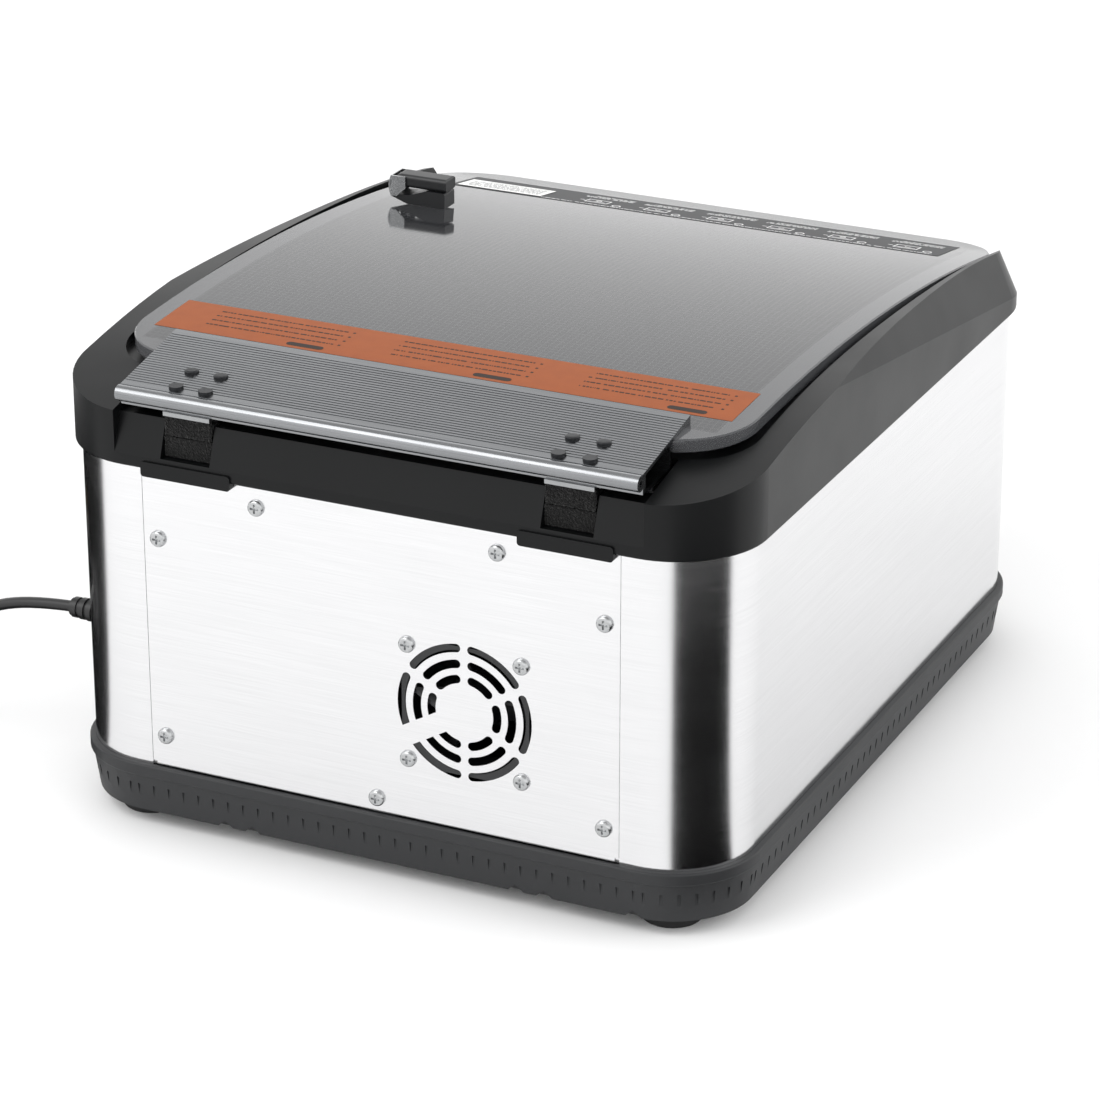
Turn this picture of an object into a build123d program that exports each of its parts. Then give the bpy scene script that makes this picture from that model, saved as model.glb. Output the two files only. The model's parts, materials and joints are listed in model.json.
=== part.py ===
from build123d import *
from math import atan2, cos, degrees, pi, radians, sin, sqrt, tan
import os

os.makedirs("parts", exist_ok=True)

# A tabletop chamber vacuum sealer. Millimetres; X to the right of someone facing the control
# panel, -Y is the front, +Z is up, and the feet stand on Z = 0.

# %% Driving dimensions: housing
body_width = 423.0          # stainless wrap, side to side
body_depth = 502.0          # stainless wrap, front to rear
body_corner = 50.5          # outside radius of the upright corners
sheet = 1.0                 # stainless sheet
foot_height = 10.0          # what shows of a foot under the tray
foot_radius = 19.5
foot_inset_x = 41.5         # foot centre from the wrap's side
foot_inset_y = 31.0         # foot centre from the wrap's front or rear
base_height = 32.0          # moulded tray, feet to stainless
steel_height = 189.5        # stainless that shows between tray and bezel
bezel_overhang = 4.0        # bezel beyond the stainless
rim_overhang = 3.8          # tray rim beyond the stainless
tray_taper = 5.0            # tray side draws in by this at its bottom
tray_wall = 3.0
sheet_seat = 4.0            # stainless set into the tray rim
bezel_lap = 6.0             # bezel lapping over the stainless top edge
fit = 0.1                   # clearance of a seated part
panel_width = 300.5         # rear panel
panel_gap = 0.4             # seam each side of the rear panel
groove_pitch = 10.0         # upright grooves round the tray
groove_width = 1.8
groove_depth = 1.0
groove_height = 15.0

# %% Driving dimensions: lid and chamber
lid_width = 390.0
lid_depth = body_depth - 44.0
lid_center_y = -19.0
lid_corner = 43.0
lid_thickness = 8.0
arch_radius = 1640.0        # lid top, curved about X
arch_apex_y = body_depth / 2 - 176.0
arch_rise = 59.0            # lid top above the stainless, at its apex
lid_gap = 4.5               # all round between lid and bezel
trough_below_lid = 6.0      # trough floor under the lid's underside
bezel_plate = 3.0
rim_slope = 27.0            # degrees, upper bezel side leaning in
chamber_width = 326.0
chamber_depth = body_depth - 108.0
chamber_corner = 26.0
chamber_sunk = 63.5         # chamber floor below the top of the stainless
tub_sheet = 1.5
flange_reach = 20.0         # tub flange beyond the chamber wall
gasket_width = 9.0
gasket_inset = 4.0          # gasket from the chamber wall
soft_gap = 0.3              # between a soft piece and what closes on it

# %% Driving dimensions: hinge, fan, screws, lead
extrusion_length = 325.0
extrusion_front = body_depth / 2 - 65.0
hinge_y = body_depth / 2 - 8.0   # lid hinge axis
hinge_rise = 27.0           # axis above the stainless
hinge_spacing = 239.0       # between the two hinges
hinge_width = 30.0
knuckle_radius = 5.0
middle_knuckle = 13.4
side_gap = 0.3              # between neighbouring knuckles
leaf_thick = 2.5
screw_rows = (hinge_y - 16.0, hinge_y + 2.0)   # extrusion screws, front and rear row
screw_columns = 9.5         # either side of a hinge's middle
pin_radius = 2.5
running = 0.05              # radial clearance of a pin in its bore
recess_width = 32.0
bezel_rear_rise = 30.0      # low rear wall of the bezel above the stainless
fan_x = -54.4
fan_z = 116.5
fan_size = 80.0
fan_depth = 25.0
fan_pitch = 71.5
screw_head = 5.0            # pan head radius
screw_rise = 2.6
screw_shank = 1.9
screw_length = 7.0
lead_radius = 3.5
lead_y = body_depth / 2 - 61.0
lead_z = 102.5

# %% Derived levels and places
base_bottom = foot_height
base_top = base_bottom + base_height
steel_top = base_top + steel_height
chamber_floor = steel_top - chamber_sunk
wrap_bottom = base_top - sheet_seat
wrap_top = steel_top + bezel_lap
half_w = body_width / 2
half_d = body_depth / 2
apex_z = steel_top + arch_rise
arch_center_z = apex_z - arch_radius
lid_front = lid_center_y - lid_depth / 2
lid_rear = lid_center_y + lid_depth / 2
hinge_z = steel_top + hinge_rise
hinge_centers = [-hinge_spacing / 2, hinge_spacing / 2]
trough_depth = lid_thickness + trough_below_lid


def arch_z(y, below=0.0):
    """Height of the arched surface that lies `below` the lid's top, at depth y."""
    return arch_center_z + sqrt((arch_radius - below) ** 2 - (y - arch_apex_y) ** 2)


def arch_curve(below, front, rear):
    """Arc of that surface from front to rear, for a BuildLine on Plane.YZ."""
    middle = (front + rear) / 2
    ends = [(y, arch_z(y, below)) for y in (front, middle, rear)]
    return ThreePointArc(*ends)


def arched_band(below, thickness, front, rear):
    """Band under the lid's top, for a BuildSketch on Plane.YZ."""
    with BuildLine() as outline:
        upper = arch_curve(below, front, rear)
        lower = arch_curve(below + thickness, front, rear)
        Line(upper @ 0, lower @ 0)
        Line(upper @ 1, lower @ 1)
    make_face(outline.edges())


def above_arch(below, front, rear, top):
    """Everything over that surface up to a level, for a BuildSketch on Plane.YZ."""
    with BuildLine() as outline:
        floor = arch_curve(below, front, rear)
        Polyline(floor @ 0, (front, top), (rear, top), floor @ 1)
    make_face(outline.edges())


def finish(build, name):
    build.part.label = name
    export_step(build.part, f"parts/{name}.step")


def rear_plane(x, z, y=half_d):
    """Plane facing rearwards: its own x is -X, its own y is +Z."""
    return Plane(origin=(x, y, z), x_dir=(-1, 0, 0), z_dir=(0, 1, 0))


def front_plane(x, z, y=-half_d):
    """Plane facing forwards: its own x is +X, its own y is +Z."""
    return Plane(origin=(x, y, z), x_dir=(1, 0, 0), z_dir=(0, -1, 0))


def pan_screw(plane, head, rise, shank, length):
    """A pan head screw seated on a plane, its shank behind it, with a cross recess."""
    with BuildSketch(plane) as disc:
        Circle(head)
    extrude(disc.sketch, amount=rise)
    over_head = plane.origin + plane.z_dir * (rise + 5)
    rim = edges().filter_by(GeomType.CIRCLE).sort_by_distance(over_head)[0]
    fillet(rim, rise * 0.75)
    with BuildSketch(plane.offset(rise)) as cross:
        Rectangle(head * 1.1, head * 0.26)
        Rectangle(head * 0.26, head * 1.1)
    extrude(cross.sketch, amount=-rise * 0.55, mode=Mode.SUBTRACT)
    with BuildSketch(plane) as core:
        Circle(shank)
    extrude(core.sketch, amount=-length)


# %% Moulded base tray: drawn-in side with upright grooves, rim bead, foot bosses
foot_x = half_w - foot_inset_x
foot_y = half_d - foot_inset_y
foot_points = [(-foot_x, -foot_y), (-foot_x, foot_y), (foot_x, -foot_y), (foot_x, foot_y)]
rim_height = 8.0
rim_w = body_width + 2 * rim_overhang
rim_d = body_depth + 2 * rim_overhang
skirt_top_in = 1.6          # skirt under the rim bead
skirt_w = rim_w - 2 * skirt_top_in
skirt_d = rim_d - 2 * skirt_top_in
skirt_corner = body_corner + rim_overhang - skirt_top_in
skirt_height = base_height - rim_height
skirt_lean = degrees(atan2(tray_taper - skirt_top_in, skirt_height))
board_x = 45.0              # power board's centre on the tray floor
board_y_low = -150.0
standoff = 8.0
bottom_tab_x = -2.0
bottom_tab_z = base_top + 9.5


def groove_places(width, depth, corner, pitch):
    """Evenly pitched places round a rounded rectangle, as x, y and outward angle."""
    run_x = width - 2 * corner
    run_y = depth - 2 * corner
    sides = [(0, run_y, width / 2), (90, run_x, depth / 2), (180, run_y, width / 2), (270, run_x, depth / 2)]
    places = []
    for side, run, reach in sides:
        count = int(run / pitch)
        for i in range(count + 1):
            along = (i - count / 2) * pitch
            a = radians(side)
            places.append((reach * cos(a) - along * sin(a), reach * sin(a) + along * cos(a), side))
    corner_count = int(corner * pi / 2 / pitch)
    for sx, sy, start in ((1, 1, 0), (-1, 1, 90), (-1, -1, 180), (1, -1, 270)):
        for i in range(corner_count):
            a = start + 90 * (i + 0.5) / corner_count
            x = sx * run_x / 2 + corner * cos(radians(a))
            y = sy * run_y / 2 + corner * sin(radians(a))
            places.append((x, y, a))
    return places


with BuildPart() as base_tray:
    with BuildSketch(Plane.XY.offset(base_top - rim_height)):
        RectangleRounded(rim_w, rim_d, body_corner + rim_overhang)
    extrude(amount=rim_height)
    rim_levels = edges().group_by(Axis.Z)
    fillet(rim_levels[0] + rim_levels[-1], 1.4)
    with BuildSketch(Plane.XY.offset(base_bottom + skirt_height)):
        RectangleRounded(skirt_w, skirt_d, skirt_corner)
    extrude(amount=-skirt_height, taper=skirt_lean)
    groove_mid = base_bottom + groove_height / 2 + 3.0
    groove_spots = groove_places(skirt_w - 1.9, skirt_d - 1.9, skirt_corner - 0.95, groove_pitch)
    with Locations(*[Location((x, y, groove_mid), (0, 0, a)) for x, y, a in groove_spots]):
        Box(2 * groove_depth, groove_width, groove_height, mode=Mode.SUBTRACT)
    for x in (-159, -103.5, -85.5, 85.5, 103.5):
        with BuildSketch(rear_plane(x, base_bottom, half_d + rim_overhang)):
            Polygon((-5, 0), (5, 0), (0, 4.5), align=None)
        extrude(amount=-tray_taper - tray_wall, mode=Mode.SUBTRACT)
    with BuildSketch(Plane.XY.offset(wrap_bottom)):
        RectangleRounded(body_width + 2 * fit, body_depth + 2 * fit, body_corner + fit)
    extrude(amount=sheet_seat, mode=Mode.SUBTRACT)
    with BuildSketch(Plane.XY.offset(base_bottom + tray_wall)):
        RectangleRounded(body_width - 12, body_depth - 12, body_corner - 6)
    extrude(amount=base_height, mode=Mode.SUBTRACT)
    with BuildSketch(Plane.XY.offset(base_bottom + tray_wall)):
        with Locations(*foot_points):
            Circle(10)
    extrude(amount=6)
    with BuildSketch(Plane.XY.offset(base_bottom)):
        with Locations(*foot_points):
            Circle(2.2)
    extrude(amount=tray_wall + 6, mode=Mode.SUBTRACT)
    with BuildSketch(Plane.XY.offset(base_bottom + tray_wall)):
        with Locations((-bottom_tab_x, half_d - sheet - 3)):
            Rectangle(24, 6)
    extrude(amount=bottom_tab_z + 8 - base_bottom - tray_wall)
    with BuildSketch(rear_plane(-bottom_tab_x, bottom_tab_z, half_d - sheet)):
        Circle(screw_shank)
    extrude(amount=-6, mode=Mode.SUBTRACT)
    with BuildSketch(Plane.XY.offset(base_bottom + tray_wall)):
        with Locations((board_x, board_y_low)):
            with GridLocations(148, 78, 2, 2):
                Circle(4)
    extrude(amount=standoff)
    with BuildSketch(Plane.XY.offset(base_bottom + tray_wall)):
        with Locations((0, lid_center_y)):
            with GridLocations(chamber_width - 50, chamber_depth - 40, 2, 2):
                Circle(7)
    extrude(amount=chamber_floor - tub_sheet - base_bottom - tray_wall)
finish(base_tray, "base_tray")

# %% Feet, each a soft disc screwed up into a tray boss
foot_screw_length = 12.0
foot_washer = 2.5
with BuildPart() as feet:
    with BuildSketch():
        with Locations(*foot_points):
            Circle(foot_radius - 1.5)
    extrude(amount=foot_height, taper=-degrees(atan2(1.5, foot_height)))
    fillet(edges().filter_by(GeomType.CIRCLE).group_by(Axis.Z)[0], 1.5)
    with BuildSketch():
        with Locations(*foot_points):
            Circle(5)
    extrude(amount=foot_height - foot_washer, mode=Mode.SUBTRACT)
    with BuildSketch():
        with Locations(*foot_points):
            Circle(2.2)
    extrude(amount=foot_height, mode=Mode.SUBTRACT)
finish(feet, "feet")

with BuildPart() as foot_screws:
    for x, y in foot_points:
        plane = Plane(origin=(x, y, foot_height - foot_washer), x_dir=(1, 0, 0), z_dir=(0, 0, -1))
        pan_screw(plane, 4.2, 2.6, 2.2, foot_screw_length - 3)
finish(foot_screws, "foot_screws")

# %% Control panel layout on the front face
fascia_width = 320.0
fascia_height = 96.0
fascia_z = steel_top - 67.5
fascia_thick = 2.5
gauge_x = -118.0
gauge_hole = 24.0
display_x = -36.0
display_w = 72.0
display_h = 30.0
button_radius = 7.5
button_gap = 0.3
button_points = [(x, z) for z in (-20, 20) for x in (26, 56, 86)]
button_points = [(x - 12, z) for x, z in button_points]
rocker_x = 124.0
rocker_w = 22.0
rocker_h = 30.0
boss_points = [(-70, -38), (-70, 38), (98, -38), (98, 38)]
boss_radius = 4.0

# %% Stainless wrap: one sheet round the front, the sides and the rear corners
flange = 18.0               # doubler behind the rear panel's edge
side_screw_x = 141.0
side_screw_z = [base_top + 20.5, steel_top - 43.5]
relief_hole = 6.5
with BuildPart() as body_wrap:
    with BuildSketch(Plane.XY.offset(wrap_bottom)):
        RectangleRounded(body_width, body_depth, body_corner)
        RectangleRounded(
            body_width - 2 * sheet, body_depth - 2 * sheet, body_corner - sheet, mode=Mode.SUBTRACT
        )
        with Locations((0, half_d)):
            Rectangle(panel_width + 2 * panel_gap, 4 * sheet, mode=Mode.SUBTRACT)
        for side in (-1, 1):
            with Locations((side * (panel_width / 2 + panel_gap), half_d - 1.5 * sheet)):
                Rectangle(2 * flange, sheet)
    extrude(amount=wrap_top - wrap_bottom)
    for side in (-1, 1):
        for z in side_screw_z:
            with BuildSketch(rear_plane(side * side_screw_x, z, half_d)):
                Circle(screw_shank)
            extrude(amount=-4 * sheet, mode=Mode.SUBTRACT)
    with BuildSketch(front_plane(0, fascia_z)):
        with Locations((gauge_x, 0)):
            Circle(gauge_hole)
        with Locations((display_x, 0)):
            Rectangle(display_w + 6, display_h + 6)
        with Locations(*button_points):
            Circle(button_radius + 2)
        with Locations((rocker_x, 0)):
            Rectangle(rocker_w + 1, rocker_h + 1)
        with Locations(*boss_points):
            Circle(boss_radius)
    extrude(amount=-2 * sheet, mode=Mode.SUBTRACT)
    with BuildSketch(Plane(origin=(half_w, lead_y, lead_z), x_dir=(0, 1, 0), z_dir=(1, 0, 0))):
        Circle(relief_hole)
    extrude(amount=-2 * sheet, mode=Mode.SUBTRACT)
finish(body_wrap, "body_wrap")

# %% Rear panel with its fan grille
panel_bottom = base_top + 1.0
panel_height = wrap_top - panel_bottom
top_screw_z = steel_top - 13.0
top_screw_x = [-75.5, 76.0]
panel_screw_spots = [(s * side_screw_x, z) for s in (-1, 1) for z in side_screw_z]
panel_screw_spots += [(x, top_screw_z) for x in top_screw_x] + [(-bottom_tab_x, bottom_tab_z)]
fan_screw_spots = [(fan_x + a * fan_pitch / 2, fan_z + b * fan_pitch / 2) for a in (-1, 1) for b in (-1, 1)]
slot_width = 5.2
slot_rings = [39.5, 29.9, 20.7]
spoke = 4.4
wide_spoke = 12.5
notch_width = 5.0
with BuildSketch() as grille:
    for ring in slot_rings:
        trim = degrees((spoke + slot_width) / 2 / ring)
        for i in range(6):
            start = 30 + 60 * i
            first = start if start == 210 else start + trim
            last = start + 60 if start == 150 else start + 60 - trim
            SlotArc(CenterArc((0, 0), ring, first, last - first), slot_width)
    with Locations(Location((0, 0, 0), (0, 0, 210))):
        Rectangle(60, wide_spoke, align=(Align.MIN, Align.CENTER), mode=Mode.SUBTRACT)

with BuildPart() as rear_panel:
    with BuildSketch(rear_plane(0, panel_bottom + panel_height / 2)):
        Rectangle(panel_width, panel_height)
        for side in (-1, 1):
            with Locations((side * panel_width / 2, -panel_height / 2)):
                Rectangle(notch_width, notch_width, mode=Mode.SUBTRACT)
    extrude(amount=-sheet)
    with BuildSketch(rear_plane(0, 0)):
        with Locations(*[(-x, z) for x, z in panel_screw_spots + fan_screw_spots]):
            Circle(screw_shank)
    extrude(amount=-sheet, mode=Mode.SUBTRACT)
    with BuildSketch(rear_plane(fan_x, fan_z)):
        add(grille.sketch)
    extrude(amount=-sheet, mode=Mode.SUBTRACT)
finish(rear_panel, "rear_panel")

with BuildPart() as rear_screws:
    for x, z in panel_screw_spots + fan_screw_spots:
        pan_screw(rear_plane(x, z), screw_head, screw_rise, screw_shank, screw_length)
finish(rear_screws, "rear_screws")

# %% Axial fan behind the grille
fan_front = half_d - sheet
bore = 38.0
hub_radius = 16.0
shaft_radius = 1.5
with BuildPart() as fan_housing:
    with BuildSketch(rear_plane(fan_x, fan_z, fan_front)):
        RectangleRounded(fan_size, fan_size, 4)
        Circle(bore, mode=Mode.SUBTRACT)
        with GridLocations(fan_pitch, fan_pitch, 2, 2):
            Circle(screw_shank, mode=Mode.SUBTRACT)
    extrude(amount=-fan_depth)
    with BuildSketch(rear_plane(fan_x, fan_z, fan_front - fan_depth)):
        Circle(hub_radius)
        with PolarLocations((bore + hub_radius) / 2, 3):
            Rectangle(bore - hub_radius + 4, 5)
    extrude(amount=3)
    with BuildSketch(rear_plane(fan_x, fan_z, fan_front - fan_depth)):
        Circle(shaft_radius + running)
    extrude(amount=3, mode=Mode.SUBTRACT)
finish(fan_housing, "fan_housing")

with BuildPart() as fan_rotor:
    with BuildSketch(rear_plane(fan_x, fan_z, fan_front - fan_depth + 4)):
        Circle(hub_radius)
    extrude(amount=fan_depth - 6)
    fillet(edges().filter_by(GeomType.CIRCLE).sort_by(Axis.Y)[-1], 2)
    for i in range(7):
        blade_plane = rear_plane(fan_x, fan_z, fan_front - fan_depth / 2 + 1)
        turned = blade_plane.rotated((0, 0, 360 / 7 * i))
        root = turned.origin + turned.x_dir * (hub_radius - 1)
        with BuildSketch(Plane(origin=root, x_dir=turned.y_dir, z_dir=turned.x_dir)):
            with Locations(Location((0, 0, 0), (0, 0, 38))):
                Rectangle(20, 1.6)
        extrude(amount=bore - hub_radius - 0.5)
    with BuildSketch(rear_plane(fan_x, fan_z, fan_front - fan_depth)):
        Circle(shaft_radius)
    extrude(amount=6)
    with BuildSketch(rear_plane(fan_x, fan_z, fan_front - fan_depth + 3.4)):
        Circle(bore - 1)
    extrude(amount=fan_depth - 5, mode=Mode.INTERSECT)
    with BuildSketch(rear_plane(fan_x, fan_z, fan_front - fan_depth + 0.2)):
        Circle(shaft_radius)
    extrude(amount=5)
finish(fan_rotor, "fan_rotor")

# %% Top bezel: arched rim, upper side leaning in, lid pocket, low rear wall with two hinge recesses
bezel_w = body_width + 2 * bezel_overhang
bezel_d = body_depth + 2 * bezel_overhang
bezel_corner = body_corner + bezel_overhang
crease_front = (42.0 - half_d, 10.0)   # crease along the side, as y and height over the stainless
crease_rear = (40.0, 46.0)
crease_run = crease_rear[0] - crease_front[0]
crease_climb = crease_rear[1] - crease_front[1]
crease_stretch = sqrt(crease_run ** 2 + crease_climb ** 2) / crease_run
crease_plane = Plane(
    origin=(0, crease_front[0], steel_top + crease_front[1]), x_dir=(1, 0, 0), z_dir=(0, -crease_climb, crease_run)
)
rim_points = [
    (-half_d - 8, 27.0), (61 - half_d, 40.0), (-60, 52.5), (40, 56.0), (120, 53.5),
    (half_d - 66, 46.0), (half_d + 8, 32.0)
]
horn_x = extrusion_length / 2 + 3.0
rear_shelf_front = lid_rear - 6.0
rear_lip = 7.4
rear_lean = 8.5
recess_floor = 8.0
recess_back = half_d - 15.0
ledge_x = 119.0
ledge_width = 58.0
pocket_w = lid_width + 2 * lid_gap
trough_front = lid_front + 12.0
tub_w = chamber_width + 2 * tub_sheet
tub_d = chamber_depth + 2 * tub_sheet
tub_corner = chamber_corner + tub_sheet
tab_width = 22.0
wide = body_width            # comfortably across the part

with BuildPart() as lean_cut:
    with BuildSketch(crease_plane):
        Rectangle(2 * wide, 3 * wide)
    extrude(amount=60)
    with BuildSketch(crease_plane):
        with Locations((0, -crease_front[0] * crease_stretch)):
            RectangleRounded(bezel_w, bezel_d * crease_stretch, bezel_corner)
    extrude(amount=60, taper=rim_slope, mode=Mode.SUBTRACT)

with BuildPart() as pocket_cut:
    with BuildSketch(Plane.YZ):
        above_arch(lid_thickness + 1.0, lid_front - 60, lid_rear + lid_gap + 20, apex_z + 40)
    extrude(amount=wide, both=True)
    with BuildSketch():
        with Locations((0, lid_center_y - 30)):
            RectangleRounded(pocket_w, lid_depth + 2 * lid_gap + 60, lid_corner + lid_gap)
    extrude(amount=2 * wide, mode=Mode.INTERSECT)

trough_rear = rear_shelf_front + 3.0
with BuildPart() as trough_cut:
    with BuildSketch(Plane.YZ):
        above_arch(trough_depth, trough_front - 20, trough_rear + 20, apex_z + 40)
    extrude(amount=wide, both=True)
    with BuildSketch():
        with Locations((0, (trough_front + trough_rear) / 2)):
            RectangleRounded(pocket_w, trough_rear - trough_front, lid_corner - 8)
    extrude(amount=2 * wide, mode=Mode.INTERSECT)

with BuildPart() as under_cut:
    with BuildSketch(Plane.YZ):
        with BuildLine():
            roof = arch_curve(trough_depth + bezel_plate, -half_d + 12, recess_back - 4)
            Polyline(roof @ 0, (-half_d + 12, steel_top - 1), (recess_back - 4, steel_top - 1), roof @ 1)
        make_face()
    extrude(amount=half_w - 8, both=True)
    with BuildSketch():
        RectangleRounded(body_width - 16, body_depth - 24, body_corner - 10)
    extrude(amount=2 * wide, mode=Mode.INTERSECT)

with BuildPart() as top_bezel:
    with BuildSketch(Plane.XY.offset(steel_top)):
        RectangleRounded(bezel_w, bezel_d, bezel_corner)
    extrude(amount=arch_rise)
    fillet(edges().group_by(Axis.Z)[0], 1.5)
    add(lean_cut.part, mode=Mode.SUBTRACT)
    with BuildSketch(Plane.YZ):
        with BuildLine():
            crest = Spline(*[(y, steel_top + r) for y, r in rim_points])
            Polyline(crest @ 0, (rim_points[0][0], steel_top), (rim_points[-1][0], steel_top), crest @ 1)
        make_face()
    extrude(amount=wide, both=True, mode=Mode.INTERSECT)
    add(pocket_cut.part, mode=Mode.SUBTRACT)
    add(trough_cut.part, mode=Mode.SUBTRACT)
    with BuildSketch(Plane.XY.offset(steel_top + bezel_rear_rise)):
        with Locations((0, rear_shelf_front)):
            Rectangle(2 * horn_x, wide / 2, align=(Align.CENTER, Align.MIN))
    extrude(amount=arch_rise, mode=Mode.SUBTRACT)
    with BuildSketch(Plane.YZ):
        with BuildLine():
            Polyline(
                (bezel_d / 2 + 1, steel_top + rear_lip), (bezel_d / 2, steel_top + rear_lip),
                (bezel_d / 2 - rear_lean, steel_top + bezel_rear_rise + 1),
                (bezel_d / 2 + 1, steel_top + bezel_rear_rise + 1), close=True
            )
        make_face()
    extrude(amount=horn_x, both=True, mode=Mode.SUBTRACT)
    for side in (-1, 1):
        with BuildSketch(Plane.XY.offset(steel_top + recess_floor)):
            with Locations((side * hinge_spacing / 2, recess_back)):
                Rectangle(recess_width, wide / 4, align=(Align.CENTER, Align.MIN))
        extrude(amount=arch_rise, mode=Mode.SUBTRACT)
        with BuildSketch(rear_plane(side * ledge_x, steel_top + 0.5, bezel_d / 2 + 1.3)):
            RectangleRounded(ledge_width, 9, 2)
        extrude(amount=-5)
    with BuildSketch(Plane.XY.offset(steel_top - 6)):
        RectangleRounded(body_width + 2 * fit, body_depth + 2 * fit, body_corner + fit)
    extrude(amount=bezel_lap + 6, mode=Mode.SUBTRACT)
    add(under_cut.part, mode=Mode.SUBTRACT)
    with BuildSketch(Plane.XY.offset(steel_top - 2)):
        with Locations((0, lid_center_y)):
            RectangleRounded(tub_w + 2, tub_d + 2, tub_corner + 1)
    extrude(amount=2 * arch_rise, mode=Mode.SUBTRACT)
    for x in top_screw_x:
        with BuildSketch(Plane.XY.offset(top_screw_z - 9)):
            with Locations((x, half_d - sheet - 3)):
                Rectangle(tab_width, 6)
        extrude(amount=steel_top + bezel_lap + 2 - top_screw_z + 9)
        with BuildSketch(rear_plane(x, top_screw_z)):
            Circle(screw_shank)
        extrude(amount=-10, mode=Mode.SUBTRACT)
finish(top_bezel, "top_bezel")

# %% Felt pads closing the hinge recesses from behind
felt_top = 20.5
felt_thick = 2.5
felt_y = half_d - 3.5
felt_z = steel_top + (recess_floor + felt_top) / 2
with BuildPart() as felt_pads:
    for x in hinge_centers:
        with BuildSketch(rear_plane(x, felt_z, felt_y)):
            Rectangle(recess_width - 0.2, felt_top - recess_floor)
        extrude(amount=felt_thick)
finish(felt_pads, "felt_pads")

# %% Chamber tub with an arched flange, its gasket and the filler plate
with BuildPart() as tub_flange:
    with BuildSketch(Plane.YZ):
        arched_band(trough_depth - tub_sheet - fit, tub_sheet, lid_front, lid_rear)
    extrude(amount=wide, both=True)
    with BuildSketch():
        with Locations((0, lid_center_y)):
            flange_w = chamber_width + 2 * flange_reach - 8
            flange_d = chamber_depth + 2 * flange_reach - 8
            RectangleRounded(flange_w, flange_d, chamber_corner + flange_reach - 4)
    extrude(amount=2 * wide, mode=Mode.INTERSECT)

with BuildPart() as tub_inside:
    with BuildSketch(Plane.XY.offset(chamber_floor)):
        with Locations((0, lid_center_y)):
            RectangleRounded(chamber_width, chamber_depth, chamber_corner)
    extrude(amount=apex_z + 30 - chamber_floor)
    fillet(edges().group_by(Axis.Z)[0], 6)

with BuildPart() as chamber_tub:
    with BuildSketch(Plane.XY.offset(chamber_floor - tub_sheet)):
        with Locations((0, lid_center_y)):
            RectangleRounded(tub_w, tub_d, tub_corner)
    extrude(amount=apex_z + 20 - chamber_floor)
    fillet(edges().group_by(Axis.Z)[0], 6 + tub_sheet)
    with BuildSketch(Plane.YZ):
        above_arch(trough_depth - tub_sheet / 2 - fit, lid_front - 10, lid_rear + 10, apex_z + 60)
    extrude(amount=wide, both=True, mode=Mode.SUBTRACT)
    add(tub_flange.part)
    add(tub_inside.part, mode=Mode.SUBTRACT)
finish(chamber_tub, "chamber_tub")

gasket_height = trough_below_lid - soft_gap - tub_sheet - 2 * fit
with BuildPart() as chamber_gasket:
    with BuildSketch(Plane.YZ):
        arched_band(lid_thickness + soft_gap, gasket_height, lid_front, lid_rear)
    extrude(amount=wide, both=True)
    with BuildSketch():
        inner_w = chamber_width + 2 * gasket_inset
        inner_d = chamber_depth + 2 * gasket_inset
        outer_w = inner_w + 2 * gasket_width
        outer_d = inner_d + 2 * gasket_width
        with Locations((0, lid_center_y)):
            RectangleRounded(outer_w, outer_d, chamber_corner + gasket_inset + gasket_width)
            RectangleRounded(inner_w, inner_d, chamber_corner + gasket_inset, mode=Mode.SUBTRACT)
    extrude(amount=2 * wide, mode=Mode.INTERSECT)
finish(chamber_gasket, "chamber_gasket")

chamber_front = lid_center_y - chamber_depth / 2
chamber_rear = lid_center_y + chamber_depth / 2
bar_zone = 46.0              # chamber floor kept for the seal bar
plate_clear = 4.0
plate_thick = 12.0
with BuildPart() as filler_plate:
    with BuildSketch(Plane.XY.offset(chamber_floor)):
        with Locations((0, (chamber_front + bar_zone + chamber_rear - plate_clear - 4) / 2)):
            plate_d = chamber_depth - bar_zone - plate_clear - 4
            RectangleRounded(chamber_width - 2 * plate_clear - 8, plate_d, chamber_corner - 8)
            with GridLocations(150, plate_d - 70, 2, 2):
                Circle(11, mode=Mode.SUBTRACT)
    extrude(amount=plate_thick)
    fillet(edges().group_by(Axis.Z)[-1].filter_by(GeomType.CIRCLE, reverse=True), 1.5)
finish(filler_plate, "filler_plate")

# %% Seal bar on two lift cylinders, its ribbon and tape, and the backing bar under the lid
bar_length = 300.0
bar_thick = 12.0
bar_height = 24.0
bar_y = chamber_front + 24.0
cylinder_x = 105.0
cylinder_height = 46.0
cylinder_radius = 11.0
rod_radius = 4.0
lift = 8.0
bar_bottom = chamber_floor + cylinder_height + 0.5
with BuildPart() as lift_cylinders:
    with BuildSketch(Plane.XY.offset(chamber_floor)):
        with Locations((-cylinder_x, bar_y), (cylinder_x, bar_y)):
            Circle(cylinder_radius)
    extrude(amount=cylinder_height)
    chamfer(edges().group_by(Axis.Z)[-1], 1)
    with BuildSketch(Plane.XY.offset(chamber_floor + cylinder_height)):
        with Locations((-cylinder_x, bar_y), (cylinder_x, bar_y)):
            Circle(rod_radius + running)
    extrude(amount=-cylinder_height + 6, mode=Mode.SUBTRACT)
finish(lift_cylinders, "lift_cylinders")

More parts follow.
